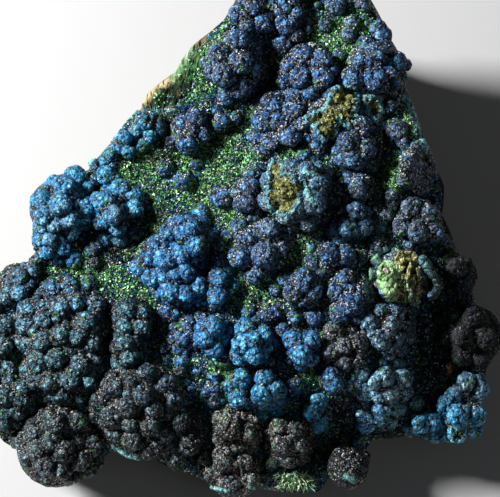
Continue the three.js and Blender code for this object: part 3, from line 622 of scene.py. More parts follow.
NODULE_SEAT = 0.22  # how far a nodule's middle stands over its ground, as a share of its radius
NODULE_HEIGHT = 0.85  # of a nodule, as a share of its width
SWELL_FULLNESS = 1.08  # the swelling against its reading
SMALL_NODULES = (4.5, 7.5)  # least and greatest radius, in picture points, of those that fill a swelling
SMALL_CROWD = 0.016  # small nodules to each square point of a swelling
SMALL_SEAT = -0.2  # they sit lower, as a share of their radius
LEAST_SWELL = 12  # picture points: a swelling with a smaller foot has none
ROOT_DEPTH = 0.7 * MM  # how far a mound reaches into the druse
SKIN_STEP = 0.2  # mm between the points of a mound's skin
MOUNDS = {  # each lobe's swelling, (across, down, foot, rise in mm), then its nodules, (across, down, radius)
    "edge_strip": [[
        (148, 127, 14, 1.2), (152, 120, 7), (145, 122, 8), (136, 131, 7), (142, 145, 8), (150, 136, 6.5),
        (158, 122, 5.5),
    ], [
        (125, 145, 12, 1.0), (124, 139, 8), (128, 152, 7), (111, 156, 7), (118, 148, 6.5), (104, 162, 5.5),
        (136, 150, 5.5),
    ]],
    "left_knob": [[
        (60, 208, 28, 4.4), (75, 177, 11.5), (62, 184, 10), (42, 201, 11.5), (44, 214, 11), (60, 205, 11),
        (70, 219, 9), (70, 232, 9), (50, 237, 10), (58, 246, 9), (84, 208, 9), (86, 188, 8), (72, 258, 9),
        (85, 222, 8), (92, 250, 8), (65, 188, 11), (38, 207, 8), (55, 225, 8), (42, 225, 9), (85, 203, 6.5),
        (85, 217, 7),
    ], [
        (50, 240, 17, 2.4), (40, 229, 8), (40, 241, 7), (47, 251, 8), (57, 260, 7), (62, 248, 8),
        (50, 240, 8), (62, 236, 7),
    ]],
    "heart_knob": [[
        (113, 208, 22, 3.4), (105, 203, 11.5), (113, 214, 11), (132, 198, 11.5), (120, 189, 10),
        (106, 175, 10), (117, 228, 9), (104, 238, 8), (136, 232, 8), (120, 240, 8), (100, 222, 8),
        (98, 200, 8), (133, 208, 10), (115, 180, 6.5), (108, 235, 6.5),
    ]],
    "lower_crest": [[
        (190, 131, 18, 1.8), (195, 118, 10.5), (184, 122, 7.5), (188, 143, 11), (182, 135, 7),
        (203, 134, 7.5), (189, 131, 9.5),
    ]],
    "upper_crest": [[
        (235, 63, 28, 2.8), (238, 42, 12.5), (220, 54, 11.5), (241, 62, 12.5), (224, 75, 12.5),
        (241, 86, 11.5), (254, 66, 10), (228, 92, 9), (213, 72, 8), (253, 46, 8),
    ]],
    "top_crest": [[
        (258, 12, 22, 1.8), (240, 14, 10), (256, 0, 11), (264, 22, 10), (248, 25, 8), (272, 4, 9),
        (262, -12, 9), (255, 7, 9), (245, 20, 7), (252, 32, 6.5),
    ], [
        (288, 20, 22, 1.6), (288, 2, 11), (286, 24, 11), (284, 44, 11.5), (302, -8, 10), (296, 14, 8),
        (296, 34, 8), (283, 8, 11), (295, 6, 7),
    ]],
    "north_mound": [[
        (307, 70, 27, 2.8), (304, 56, 11.5), (320, 60, 11), (300, 76, 11.5), (320, 77, 11.5), (286, 79, 10),
        (310, 90, 9), (292, 66, 9), (330, 70, 7), (318, 85, 7), (340, 55, 7),
    ], [
        (280, 116, 28, 2.4), (293, 96, 9), (273, 104, 11.5), (292, 109, 11), (263, 121, 11), (279, 122, 10),
        (289, 136, 11), (271, 139, 10), (257, 136, 9), (262, 151, 9), (300, 124, 8),
    ], [
        (334, 112, 26, 2.2), (336, 96, 10), (348, 104, 10), (332, 117, 11), (321, 131, 10), (312, 117, 9),
        (346, 120, 8), (305, 154, 9), (306, 140, 8), (318, 147, 8),
    ]],
    "north_east_mound": [[
        (375, 70, 28, 2.6), (377, 55, 12.5), (396, 62, 10), (354, 77, 11.5), (377, 80, 12.5), (391, 82, 9),
        (372, 100, 9), (361, 60, 9), (366, 44, 9), (383, 36, 9), (370, 60, 8), (385, 55, 8), (405, 65, 5.5),
        (345, 80, 8), (388, 75, 9), (395, 85, 6.5), (383, 85, 7),
    ]],
    "east_mound": [[
        (360, 143, 24, 2.4), (377, 124, 10), (362, 127, 10), (350, 143, 10), (356, 158, 11), (368, 148, 9),
        (345, 160, 8), (358, 130, 7), (365, 160, 6.5), (352, 168, 5.5),
    ]],
    "east_ball": [[(362, 188, 13, 1.4), (362, 187, 12.5), (352, 180, 7), (376, 194, 7)]],
    "middle_dome": [[
        (298, 194, 32, 4.4), (312, 202, 12.5), (318, 186, 10), (307, 172, 10), (294, 166, 9), (307, 221, 9),
        (286, 216, 10), (270, 182, 9), (270, 202, 10), (288, 190, 12.5), (297, 205, 10), (278, 170, 9),
        (322, 214, 8), (312, 157, 6.5), (318, 170, 8), (325, 180, 6.5), (327, 172, 6.5),
    ]],
    "middle_west_mound": [[
        (248, 196, 15, 1.4), (247, 186, 10), (244, 203, 10), (238, 192, 8), (255, 214, 7), (262, 200, 9),
    ]],
    "middle_left_mound": [[
        (260, 250, 26, 2.2), (238, 228, 9), (250, 236, 9), (268, 231, 12.5), (283, 234, 9), (265, 255, 12.5),
        (240, 257, 11), (256, 274, 10), (279, 248, 8), (243, 238, 8),
    ]],
    "small_dome": [[
        (352, 222, 18, 2), (356, 213, 11), (363, 226, 10), (349, 228, 10), (335, 230, 9), (338, 241, 8),
        (348, 233, 6.5),
    ]],
    "right_edge_mound": [[
        (417, 168, 18, 1.8), (420, 151, 10), (413, 168, 12.5), (421, 184, 11), (405, 180, 8), (428, 168, 8),
        (412, 175, 11),
    ]],
    "right_corner_mound": [[
        (418, 222, 22, 2), (392, 199, 10), (412, 209, 11), (428, 214, 10), (433, 231, 10), (418, 231, 11),
        (403, 226, 10), (412, 243, 8), (386, 214, 8), (400, 200, 5.5),
    ]],
    "centre_mound": [[
        (336, 256, 18, 1.6), (329, 254, 11), (345, 255, 10), (314, 263, 9), (322, 270, 8), (356, 262, 7),
    ], [
        (303, 285, 18, 2.2), (303, 281, 11.5), (313, 290, 9), (294, 293, 9), (286, 280, 8), (302, 299, 7),
    ]],
    "middle_right_mound": [[
        (350, 296, 24, 2.2), (345, 279, 10), (338, 292, 9), (352, 302, 12.5), (339, 313, 10), (362, 292, 9),
        (358, 316, 8), (352, 290, 7), (360, 300, 9),
    ]],
    "broken_boss": [[
        (399, 278, 26, 2.5), (388, 273, 11), (391, 289, 12), (407, 261, 10), (411, 276, 12), (410, 291, 12),
        (398, 257, 7), (379, 263, 6), (401, 270, 9),
    ]],
    "lower_right_dome": [[
        (389, 329, 25, 2.4), (371, 323, 10), (382, 313, 9), (397, 313, 9), (391, 326, 10), (407, 324, 9),
        (408, 336, 9), (400, 348, 9), (382, 339, 10), (396, 338, 9), (410, 312, 6.5), (389, 351, 8),
        (373, 333, 7),
    ]],
    "speckled_mound": [[
        (344, 346, 24, 1.6), (334, 332, 10), (358, 343, 10), (359, 358, 9), (330, 351, 9), (345, 346, 9),
        (346, 362, 8),
    ]],
    "right_front_mound": [[
        (388, 388, 22, 1.9), (360, 374, 9), (366, 392, 10), (385, 378, 10), (402, 380, 10), (392, 394, 9),
        (398, 366, 7), (417, 403, 7), (352, 386, 6), (368, 402, 7), (376, 384, 7), (404, 394, 8),
        (379, 396, 7),
    ], [
        (382, 412, 17, 1.4), (397, 408, 9), (381, 412, 9), (364, 415, 8), (366, 424, 9), (388, 402, 7),
        (373, 418, 7),
    ]],
    "flank_dome": [[
        (460, 276, 16, 1.6), (463, 286, 10), (457, 268, 10), (450, 256, 7),
    ], [
        (472, 336, 28, 4), (463, 300, 10), (450, 316, 11), (474, 318, 12.5), (484, 338, 11.5),
        (464, 336, 11.5), (480, 358, 11), (462, 356, 11), (446, 338, 8), (440, 318, 7),
    ]],
    "flank_cluster": [[
        (466, 388, 18, 2), (467, 382, 10), (479, 389, 10), (454, 395, 9), (478, 380, 8),
    ], [
        (460, 416, 20, 2.6), (446, 406, 10), (459, 416, 11.5), (475, 415, 11), (457, 432, 10), (443, 432, 9),
        (474, 430, 8), (470, 410, 6.5), (448, 436, 6.5),
    ], [
        (427, 424, 14, 1.6), (434, 422, 8), (421, 424, 9), (410, 430, 7), (435, 436, 7),
    ]],
    "left_ball": [[(211, 335, 17, 2.8), (213, 327, 11), (204, 338, 10), (214, 348, 9), (221, 349, 4.5)]],
    "middle_ball": [[
        (252, 342, 21, 3.4), (246, 329, 11), (243, 344, 11), (254, 353, 11), (262, 336, 10), (253, 340, 10),
        (240, 355, 10), (267, 347, 5.5), (258, 322, 6.5),
    ]],
    "right_ball": [[(302, 349, 18, 3), (293, 340, 10), (301, 353, 11), (311, 341, 10), (311, 358, 8)]],
    "slope_mound": [[
        (184, 336, 14, 1.3), (187, 323, 7.5), (182, 338, 7.5), (178, 348, 6.5), (175, 313, 6),
        (181, 361, 7.5), (188, 331, 6),
    ]],
    "lower_balls": [[
        (240, 389, 16, 2.2), (240, 379, 10), (239, 399, 10), (248, 410, 7),
    ], [
        (266, 392, 19, 2.8), (265, 379, 10), (276, 391, 10), (262, 395, 11), (260, 413, 10), (276, 408, 9),
        (278, 400, 7),
    ]],
    "small_ball": [[(332, 380, 12, 1.8), (331, 375, 8), (334, 385, 9)]],
    "lower_finger": [[(317, 413, 14, 1.8), (319, 402, 9), (312, 413, 9), (318, 424, 9)]],
    "front_mound": [[
        (238, 431, 24, 3), (230, 427, 13), (248, 434, 10.5), (222, 440, 8.5), (262, 430, 7.5),
        (238, 446, 7.5), (253, 420, 5),
    ], [
        (288, 442, 24, 3), (280, 429, 10.5), (295, 431, 10.5), (283, 446, 11), (300, 445, 9.5),
        (290, 458, 9.5), (272, 462, 7.5), (308, 432, 7), (298, 440, 7),
    ], [
        (234, 472, 24, 2.8), (225, 462, 11), (244, 464, 9.5), (230, 486, 11), (250, 478, 9.5),
        (212, 474, 8.5), (206, 458, 7.5), (225, 455, 12), (235, 465, 7), (245, 483, 6), (260, 480, 6),
    ]],
    "central_lobe": [[
        (186, 238, 25, 3.8), (187, 229, 13.5), (195, 244, 11.5), (170, 232, 10), (180, 254, 11.5),
        (200, 212, 9), (204, 262, 8), (180, 225, 10), (212, 235, 7),
    ], [
        (162, 262, 26, 3), (158, 246, 11), (165, 260, 11.5), (141, 266, 11), (152, 277, 10), (148, 258, 9),
        (165, 268, 8),
    ], [
        (178, 284, 24, 2.8), (167, 276, 11), (184, 272, 11), (198, 285, 10), (170, 291, 11), (184, 294, 9),
        (175, 275, 10), (200, 300, 7),
    ], [
        (217, 287, 16, 1.8), (218, 279, 10), (217, 296, 10), (226, 268, 8), (232, 286, 7),
    ]],
    "left_margin": [[
        (18, 285, 20, 1.8), (37, 260, 8), (31, 272, 9), (19, 277, 10), (20, 292, 9), (6, 296, 9),
        (-6, 306, 8), (28, 285, 6.5),
    ]],
    "lower_left_mound": [[
        (62, 324, 45, 3), (52, 288, 9.5), (68, 284, 9.5), (88, 284, 9.5), (28, 309, 10.5), (60, 308, 10.5),
        (95, 306, 10.5), (26, 325, 10.5), (86, 322, 10.5), (44, 318, 9.5), (22, 343, 9.5), (78, 336, 9.5),
        (91, 342, 9.5), (60, 334, 9.5), (42, 341, 10.5), (76, 302, 9.5), (75, 262, 7), (95, 262, 6),
        (62, 284, 7), (72, 292, 6), (38, 303, 7.5), (57, 318, 6), (97, 312, 7), (92, 330, 7.5), (65, 328, 6),
        (55, 338, 7), (35, 332, 7.5),
    ], [
        (60, 366, 40, 2.2), (55, 358, 10.5), (38, 363, 10.5), (80, 365, 10.5), (70, 380, 10.5),
        (50, 383, 10.5), (34, 384, 8.5), (94, 358, 7.5), (88, 382, 8.5), (60, 396, 8.5), (70, 372, 6),
        (60, 385, 7.5), (45, 378, 7.5),
    ], [
        (0, 345, 26, 1.6), (4, 325, 10.5), (2, 346, 10.5), (-12, 336, 10.5), (-14, 358, 10.5), (8, 368, 8.5),
    ], [
        (4, 400, 30, 2), (20, 392, 10.5), (5, 396, 11), (18, 410, 9.5), (-12, 386, 11), (2, 420, 10.5),
        (-12, 410, 9.5), (20, 400, 10.5),
    ]],
    "finger_mound": [[
        (131, 318, 20, 2.8), (128, 309, 10.5), (141, 312, 8.5), (141, 327, 9.5), (125, 326, 8.5),
    ], [
        (127, 348, 18, 2.4), (124, 343, 10.5), (129, 357, 9.5), (118, 362, 7.5), (123, 335, 7),
        (135, 340, 7), (117, 348, 7),
    ]],
    "front_west_mound": [[
        (138, 408, 46, 3.4), (147, 373, 9.5), (167, 385, 9.5), (144, 396, 11), (172, 402, 10.5),
        (114, 387, 10.5), (100, 402, 9.5), (112, 418, 12), (128, 408, 10.5), (149, 426, 10.5),
        (132, 440, 10.5), (147, 450, 9.5), (154, 410, 9.5), (130, 424, 8.5), (130, 386, 7.5), (180, 370, 7),
        (152, 360, 5), (130, 392, 7), (168, 412, 7), (105, 395, 7), (157, 445, 8.5), (140, 452, 7.5),
        (115, 435, 7.5),
    ], [
        (178, 430, 26, 2), (163, 434, 10.5), (180, 422, 10.5), (190, 444, 10.5), (176, 460, 9.5),
    ]],
    "front_left_lobe": [[
        (58, 445, 38, 4.2), (55, 425, 13), (76, 423, 10.5), (35, 432, 10.5), (51, 442, 10.5),
        (38, 450, 10.5), (64, 452, 11), (46, 464, 11), (62, 470, 9.5), (79, 460, 10.5), (91, 446, 11),
        (88, 467, 10.5), (19, 440, 9.5), (27, 456, 8.5), (75, 475, 7), (97, 460, 7.5),
    ]],
    "front_ball": [[(348, 466, 18, 3), (343, 459, 12), (356, 464, 12), (346, 474, 12), (348, 468, 20)]],
}


def balls_of(lobes, seed):
    """Centres and half sizes, in the face's frame, of each lobe's swelling and of the nodules seated on it,
    the read ones and small ones at random between them. The swelling rises over the ground as the square root
    of one less the square of the way out to its foot."""
    swellings, nodules = [], []
    rng = np.random.default_rng(seed)
    for (across, down, foot, rise), *readings in lobes:
        crowd = int(SMALL_CROWD * foot**2 * (foot > LEAST_SWELL))
        way, turn = foot * np.sqrt(rng.random(crowd)), 2 * np.pi * rng.random(crowd)
        small = [across + way * np.cos(turn), down + way * np.sin(turn), rng.uniform(*SMALL_NODULES, crowd)]
        a, d, r = np.concatenate([np.array(readings, float).T, small], 1)
        seat = np.repeat([NODULE_SEAT, SMALL_SEAT], [len(readings), crowd])
        out = 1 - ((a - across) ** 2 + (d - down) ** 2) / foot**2
        swell = rise * MM * np.sqrt(np.maximum(out, 0))
        size = r * POINT
        middle = on_face(a, d, ground(a, d) + swell + seat * size)
        nodules.append(np.column_stack([middle, size, size, NODULE_HEIGHT * size]))
        across, down = np.array([across]), np.array([down])
        wide = SWELL_FULLNESS * foot * POINT
        middle = on_face(across, down, ground(across, down))
        swellings.append(np.column_stack([middle, [wide], [wide], [SWELL_FULLNESS * rise * MM]]))
    return np.concatenate(swellings), np.concatenate(nodules)


def ball_template():
    """The points and triangles of a ball of radius 1."""
    work = bmesh.new()
    bmesh.ops.create_icosphere(work, subdivisions=3, radius=1)
    points = np.array([corner.co[:] for corner in work.verts])
    triangles = np.array([[corner.index for corner in face.verts] for face in work.faces])
    work.free()
    return points, triangles


BALL_POINTS, BALL_TRIANGLES = ball_template()


def grown_together(centres, halves, step):
    """One closed skin round balls that overlap, as points in the face's frame and its four-sided faces: the
    balls are laid over each other, each point as high over the ground as over the ground at its ball's
    centre, and remeshed with faces step millimetres long."""
    points = BALL_POINTS[None] * halves[:, None] + centres[:, None]
    flat = np.where([False, False, True], centres[:, None], points)
    points[..., 2] += ground(*picture_place(flat)) - ground(*picture_place(centres[:, None]))
    points = points.reshape(-1, 3) / MM
    offsets = np.arange(len(centres))[:, None, None] * len(BALL_POINTS)
    mesh = bpy.data.meshes.new("skin")
    mesh.from_pydata(points, [], (BALL_TRIANGLES[None] + offsets).reshape(-1, 3))
    skin = placed("skin", mesh)
    remesh = skin.modifiers.new("remesh", "REMESH")
    remesh.mode = "VOXEL"
    remesh.voxel_size = step
    done = skin.evaluated_get(bpy.context.evaluated_depsgraph_get()).to_mesh()
    found = np.empty(len(done.vertices) * 3)
    done.vertices.foreach_get("co", found)
    faces = corners_of(done).reshape(-1, 4)
    skin.to_mesh_clear()
    bpy.data.objects.remove(skin)
    bpy.data.meshes.remove(mesh)
    return found.reshape(-1, 3) * MM, faces


def capped(places, faces):
    """A skin that is open below as triangles, with a flat cap over each hole."""
    mesh = bpy.data.meshes.new("cap")
    mesh.from_pydata(places, [], faces)
    work = bmesh.new()
    work.from_mesh(mesh)
    bmesh.ops.holes_fill(work, edges=work.edges, sides=0)
    bmesh.ops.triangulate(work, faces=work.faces)
    work.to_mesh(mesh)
    work.free()
    triangles = corners_of(mesh).reshape(-1, 3)
    bpy.data.meshes.remove(mesh)
    return triangles


Nodules = namedtuple("Nodules", "crease height")
NODULE_CREASE = 0.55 * MM  # width of the crease between two nodules
SWELL_CREASE = (0.1 * MM, 0.9 * MM)  # distances from every nodule at which it sets in and is full
KNOBS = (1.2 * MM, 0.34 * MM)  # size and height of the knobs on the nodules
GRAINS = (0.6 * MM, 0.25 * MM)  # and of the grains on the knobs
LUMPS = (2.6 * MM, 0.5 * MM)  # and of the lumps that break up the dark mounds
CRYSTAL_JITTER = 0.04 * MM  # how far single crystals stand out or in
JITTER_CELL = 0.02 * MM
EDGE_RISE = 0.25 * MM  # of a pale edge
OLIVE_CHIPS = (0.9 * MM, 0.3 * MM)  # size and height of the facets in an olive patch
OLIVE_DEPTH = 0.25 * MM


def by_nodule(places, nodules):
    """How deep places lie in the crease between two nodules, by how much nearer one's surface is than the
    next, and how high they are on the nearer one, from 0 beside its middle to 1 on top."""
    first, second = np.full(len(places), 1.0), np.full(len(places), 1.0)
    height = np.zeros(len(places))
    for nodule in nodules:
        away = np.linalg.norm((places - nodule[:3]) * (1, 1, nodule[3] / nodule[5]), axis=1) - nodule[3]
        nearer = away < first
        second = np.minimum(second, np.where(nearer, first, away))
        first = np.where(nearer, away, first)
        height = np.where(nearer, (places[:, 2] - nodule[2]) / nodule[5], height)
    crease = 1 - smooth_step(0, NODULE_CREASE, second - first)
    return Nodules(np.maximum(crease, smooth_step(*SWELL_CREASE, first)), np.clip(height, 0, 1))


Relief = namedtuple("Relief", "ball knob grain over marks")  # at each point, what its colour goes by


def mound_surface(lobes, seed, lumps):
    """A mound's points in the part's frame, its faces and its relief: where each point lies on its nodule,
    knob and grain, its height over the ground and its markings. The skin of its balls is kept down to its
    root, then raised by knobs, grains and crystals. A pale edge stands up a little and an olive patch lies
    lower, with facets."""
    swellings, nodules = balls_of(lobes, seed)
    places, faces = grown_together(*np.split(np.concatenate([swellings, nodules]), 2, 1), SKIN_STEP)
    across, down = picture_place(places)
    over = np.maximum(places[:, 2] - ground(across, down), -ROOT_DEPTH)
    kept, faces = np.unique(faces[(over > -ROOT_DEPTH)[faces].any(1)], return_inverse=True)
    places, across, down, over = places[kept], across[kept], down[kept], over[kept]
    places[:, 2] = ground(across, down) + over
    faces = capped(places, faces.reshape(-1, 4))
    ball = by_nodule(places, nodules)
    points = in_part(places)
    outward = vertex_normals(points, faces)
    knob, grain = cobbles(points, KNOBS[0], seed, 0.45), cobbles(points, GRAINS[0], seed + 1, 0.45)
    marks = markings(across, down)
    jitter = draw_of(np.round(points / JITTER_CELL).astype(np.int64), seed)[:, 0] - 0.5
    raised = (knob.top - COBBLE_MEAN) * KNOBS[1] + (grain.top - COBBLE_MEAN) * GRAINS[1]
    raised += 2 * jitter * CRYSTAL_JITTER
    raised += lumps * (cobbles(points, LUMPS[0], seed + 3, 0.5).top - COBBLE_MEAN)
    facets = OLIVE_CHIPS[1] * chips(points, OLIVE_CHIPS[0], seed + 5) - OLIVE_DEPTH
    raised += EDGE_RISE * marks.pale + marks.olive * facets
    points = points + outward * (raised * smooth_step(-ROOT_DEPTH, 0, over))[:, None]
    return points, faces, Relief(ball, knob, grain, over, marks)


# Each tone: the colours in a crease (painted shade), on the whole and on top (a painted highlight), how much
# of a knob is coloured, and the share of specks.
BRIGHT = (*linear((2, 5, 10), (14, 98, 154), (104, 194, 220)), 0.55, 0.7)
CYAN = (*linear((2, 6, 10), (22, 114, 160), (124, 208, 224)), 0.6, 0.6)
DARK = (*linear((2, 4, 8), (18, 68, 122), (74, 148, 190)), 0.36, 0.9)
SLATE = (*linear((3, 5, 7), (41, 95, 131), (140, 198, 213)), 0.5, 0.9)
GREY = (*linear((2, 3, 4), (30, 64, 77), (106, 168, 177)), 0.5, 0.65)
# A darker grey for the mounds low at the front left.
DARKER_GREY = (*linear((2, 2, 3), (33, 46, 54), (104, 136, 141)), 0.45, 0.7)
BROWN = (*linear((4, 4, 4), (46, 50, 48), (120, 130, 120)), 0.34, 1.2)
TAN = (*linear((5, 5, 8), (46, 56, 76), (108, 120, 138)), 0.3, 1)
# DIM is painted shadow: the tone of the flank dome, which lies in shade, and of the front ball. LIT is
# painted light: a brighter blue for nodules that lie in shade.
DIM = (*linear((2, 3, 4), (12, 19, 26), (28, 44, 58)), 0.3, 0.7)
LIT = (*linear((4, 10, 16), (40, 138, 184), (150, 222, 234)), 0.6, 0.5)
PALE = (*linear((5, 9, 11), (74, 136, 164), (184, 230, 234)), 0.6, 0.9)
# Painted light: LIT on the lower finger and the flank cluster and CYAN on the lower balls brighten nodules
# that lie in shade.
OWN_TONES = {  # of the mounds whose tone isn't their crust's
    "edge_strip": CYAN, "heart_knob": CYAN, "left_knob": CYAN, "lower_balls": CYAN, "middle_ball": CYAN,
    "lower_finger": LIT, "flank_cluster": LIT, "right_front_mound": PALE, "middle_dome": SLATE,
    "lower_right_dome": SLATE, "slope_mound": DARK, "left_margin": GREY, "finger_mound": GREY,
    "front_west_mound": DARKER_GREY, "front_left_lobe": DARKER_GREY, "speckled_mound": TAN, "front_mound": BROWN,
    "front_ball": DIM, "flank_dome": DIM,
}
VALLEY_GREEN = linear(60, 134, 66)
VALLEY_REACH = (0.3 * MM, 1.8 * MM)  # heights over the ground at which the green thins out and ends
TO_GREY = [[0.2, 0.25, 0.3], [0.6, 0.85, 0.95], [0.1, 0.12, 0.15]]  # what red, green and blue each give
TO_CLEAR = [0.8, 1.25, 1.9]  # how much of its red, green and blue a clear place shows


def mound_colours(tone, relief):
    """Black in the creases as painted shade, coloured on each knob and palest on its top as a painted
    highlight, each knob and grain a little different, with green where the mound meets the druse. The green
    and olive are darker in their creases and everything darker in the deep gaps: painted shade. Pale specks,
    which paint the glints of crystal facets, lie in the creases and on the knobs' flanks."""
    crease_shade, whole, top, fullness, speckled = tone
    ball, knob, grain, over, marks = relief
    # Creases and low flanks are painted shade, dark; knob tops are a painted highlight, palest.
    rise = 0.45 * knob.top + 0.36 * grain.top + 0.35 * ball.height
    rise = rise - 0.32 * knob.crease - 0.28 * grain.crease - 0.5 * ball.crease
    patch = smooth_step(0.5 - fullness, 0.95 - fullness, rise + 0.3 * (knob.number - 0.5))
    top_highlight = 0.85 * smooth_step(0.6, 0.95, rise + 0.2 * (knob.number - 0.5))
    colours = lit(mix(mix(crease_shade, whole, patch), top, top_highlight), 0.6 + 0.4 * knob.number + 0.4 * grain.number)
    colours = mix(colours, colours @ TO_GREY, marks.dull)
    colours = colours * mix([1, 1, 1], TO_CLEAR, marks.clear)
    low = 1 - smooth_step(*VALLEY_REACH, over)
    greened = (grain.number * 7) % 1 < (0.12 + 0.88 * low) * marks.green
    # The green is darker in its grains' creases: painted shade.
    colours = mix(colours, lit(VALLEY_GREEN, (0.3 + grain.number) * (1 - 0.7 * grain.crease)), greened)
    # The olive is palest on its grains' tops and darker in the knobs' creases: painted highlight and shade.
    yellow = lit(mix(linear(84, 86, 26), linear(160, 164, 80), grain.number), 0.12 + 1.1 * grain.top**2)
    colours = mix(colours, lit(yellow, 1 - 0.5 * knob.crease), marks.olive)
    colours = mix(colours, lit(linear(132, 204, 206), 0.4 + 0.8 * grain.number), marks.pale)
    # Fewer specks and darker colours in the deep gaps: painted shade.
    specks = speckled * (1 - 0.93 * patch) * (1 - 0.8 * marks.olive) * (1 - 0.6 * marks.grime)
    return lit(colours, 1 - 0.85 * marks.grime), specks * (1 - 0.7 * marks.pale)


# Speck colours; the palest of them paint glints of crystal facets.
PALE_SPECKS = linear((222, 224, 226), (176, 176, 174), (146, 150, 142), (104, 160, 196))
TAN_SPECKS = linear((208, 202, 192), (168, 154, 134), (126, 118, 106), (90, 126, 140))
# Dim specks for the flank dome, which lies in shade: painted shadow.
SHADED_SPECKS = linear((128, 128, 124), (92, 88, 80), (66, 70, 70), (48, 68, 86))
bright_crust = crystal_crust("bright_blue_crystals", CRYSTAL, PALE_SPECKS, 0.14, 0.6, 0.5)
navy_crust = crystal_crust("navy_crystals", CRYSTAL, PALE_SPECKS, 0.22, 0.65, 0.45)
grey_crust = crystal_crust("grey_blue_crystals", CRYSTAL, TAN_SPECKS, 0.2, 0.65, 0.45)
CRUSTS = {  # tone and material by the name of their slot
    "bright_blue_nodules": (BRIGHT, bright_crust), "dark_blue_nodules": (DARK, navy_crust),
    "grey_blue_nodules": (GREY, grey_crust),
}
# The flank dome's crust has dim specks: painted shadow.
OWN_CRUSTS = {"flank_dome": crystal_crust("dull_shaded_crystals", CRYSTAL, SHADED_SPECKS, 0.3, 0.45, 0.85)}
slot_of = {row["node"]: row["material_slot"] for row in frame["record"]["subparts"]}
COVER_MARGIN = 40  # picture points by which the map of covered ground starts outside the picture
covered = np.zeros((560, 560), bool)  # a cell of the map for each picture point
OVER_DRUSE = 0.25 * MM  # a mound that stands this high over the ground covers it


def map_cell(across, down):
    """The cells of the map at picture points."""
    spot = np.round(np.array([across, down])).astype(int) + COVER_MARGIN
    return tuple(np.clip(spot, 0, len(covered) - 1))


def cover(points, over):
    """Notes the picture points where a mound stands over the druse, so no crystals are scattered there."""
    covered[map_cell(*picture_point(points[over > OVER_DRUSE]))] = True


for number, (mound, lobes) in enumerate(MOUNDS.items()):
    finish = slot_of[mound]
    if finish not in CRUSTS:
        continue
    tone, crust = CRUSTS[finish]
    lumps = LUMPS[1] * (finish == "dark_blue_nodules")
    points, faces, relief = mound_surface(lobes, 100 + 10 * number, lumps)
    looks = mound_colours(OWN_TONES.get(mound, tone), relief)
    piece = made_piece(mound + "_nodules", points, faces, *looks, OWN_CRUSTS.get(mound, crust))
    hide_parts(mound)
    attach(piece, "root")
    cover(points, relief.over)


# The single nodules
# The same blue cornetite in small nodules that stand alone, in the druse and crowded between the mounds. A
# curved ridge of them, crusted pale cyan, stands beside the broken boss.

LONE_NODULES = (  # across, down, radius
    (95, 165, 5), (218, 125, 8), (236, 117, 6), (98, 243, 8), (218, 265, 10), (335, 5, 10), (325, 25, 7),
    (352, 22, 8), (348, 35, 8), (362, 5, 7), (378, 28, 9), (395, 130, 12), (390, 205, 8), (378, 207, 7),
    (275, 290, 6), (358, 388, 8), (248, 312, 7), (272, 313, 9), (295, 318, 8), (306, 316, 4), (315, 318, 8),
    (213, 378, 7), (214, 390, 10), (214, 402, 6), (295, 385, 10), (165, 167, 9), (183, 180, 10),
    (221, 196, 12), (220, 123, 10),
)
LONE_SWELL = (0.9, 0.1)  # under each, its foot as a share of the nodule's radius, and its rise in mm
CURVED_RIDGE = (
    (422, 261, 3.6), (426, 264, 3.8), (428, 270, 2.9), (432, 274, 3.1), (435, 280, 2.7), (438, 285, 3.2),
    (435, 290, 3), (432, 296, 4.2),
)
RIDGE_SWELL = (4.6, 3.7)  # foot in picture points and rise in mm
CROWDING = 850  # small nodules tried, of which those on free ground outside the clean green stay
CROWD_SPAN = (-20, (490, 455))  # least and greatest across and down at which they are tried
LEAST_CROWD, MORE_CROWD = 3.5, 6  # radius of the smallest ones, and by how much the largest are larger
rng = np.random.default_rng(5)
across, down = rng.uniform(*CROWD_SPAN, (CROWDING, 2)).T
radius = LEAST_CROWD + MORE_CROWD * rng.random(CROWDING) ** 1.5
clean = np.maximum(near_places(across, down, GREEN_PLACES), markings(across, down).grime)
# Those stay that are on the face, off its edge, the clean green, the gaps, the mounds, bare rock and rust.
stays = (rock_share_at(across, down) < 0.95) & (rng.random(CROWDING) > 1.25 * clean)
stays &= ~covered[map_cell(across, down)] & (inside(across, down, BARE_ROCK) < -4)
stays &= beside(across, down, 10, *RUST[1:]) < 0.4
crowd = np.column_stack([across, down, radius])[stays]
lone_lobes = [[(a, d, LONE_SWELL[0] * r, LONE_SWELL[1]), (a, d, r)] for a, d, r in [*LONE_NODULES, *crowd]]
lone_lobes += [[(a, d, *RIDGE_SWELL), (a, d, r)] for a, d, r in CURVED_RIDGE]
points, faces, relief = mound_surface(lone_lobes, 800, 0)
lone = made_piece("single_nodules", points, faces, *mound_colours(DARK, relief), navy_crust)
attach(lone, "root")
cover(points, relief.over)


# The broken boss
# A blister of pale green waxy mineral. Its skin has broken away on the right, over ragged olive brown mineral
# with a green rim, and a small ring with a pinkish filling stands open on the left.

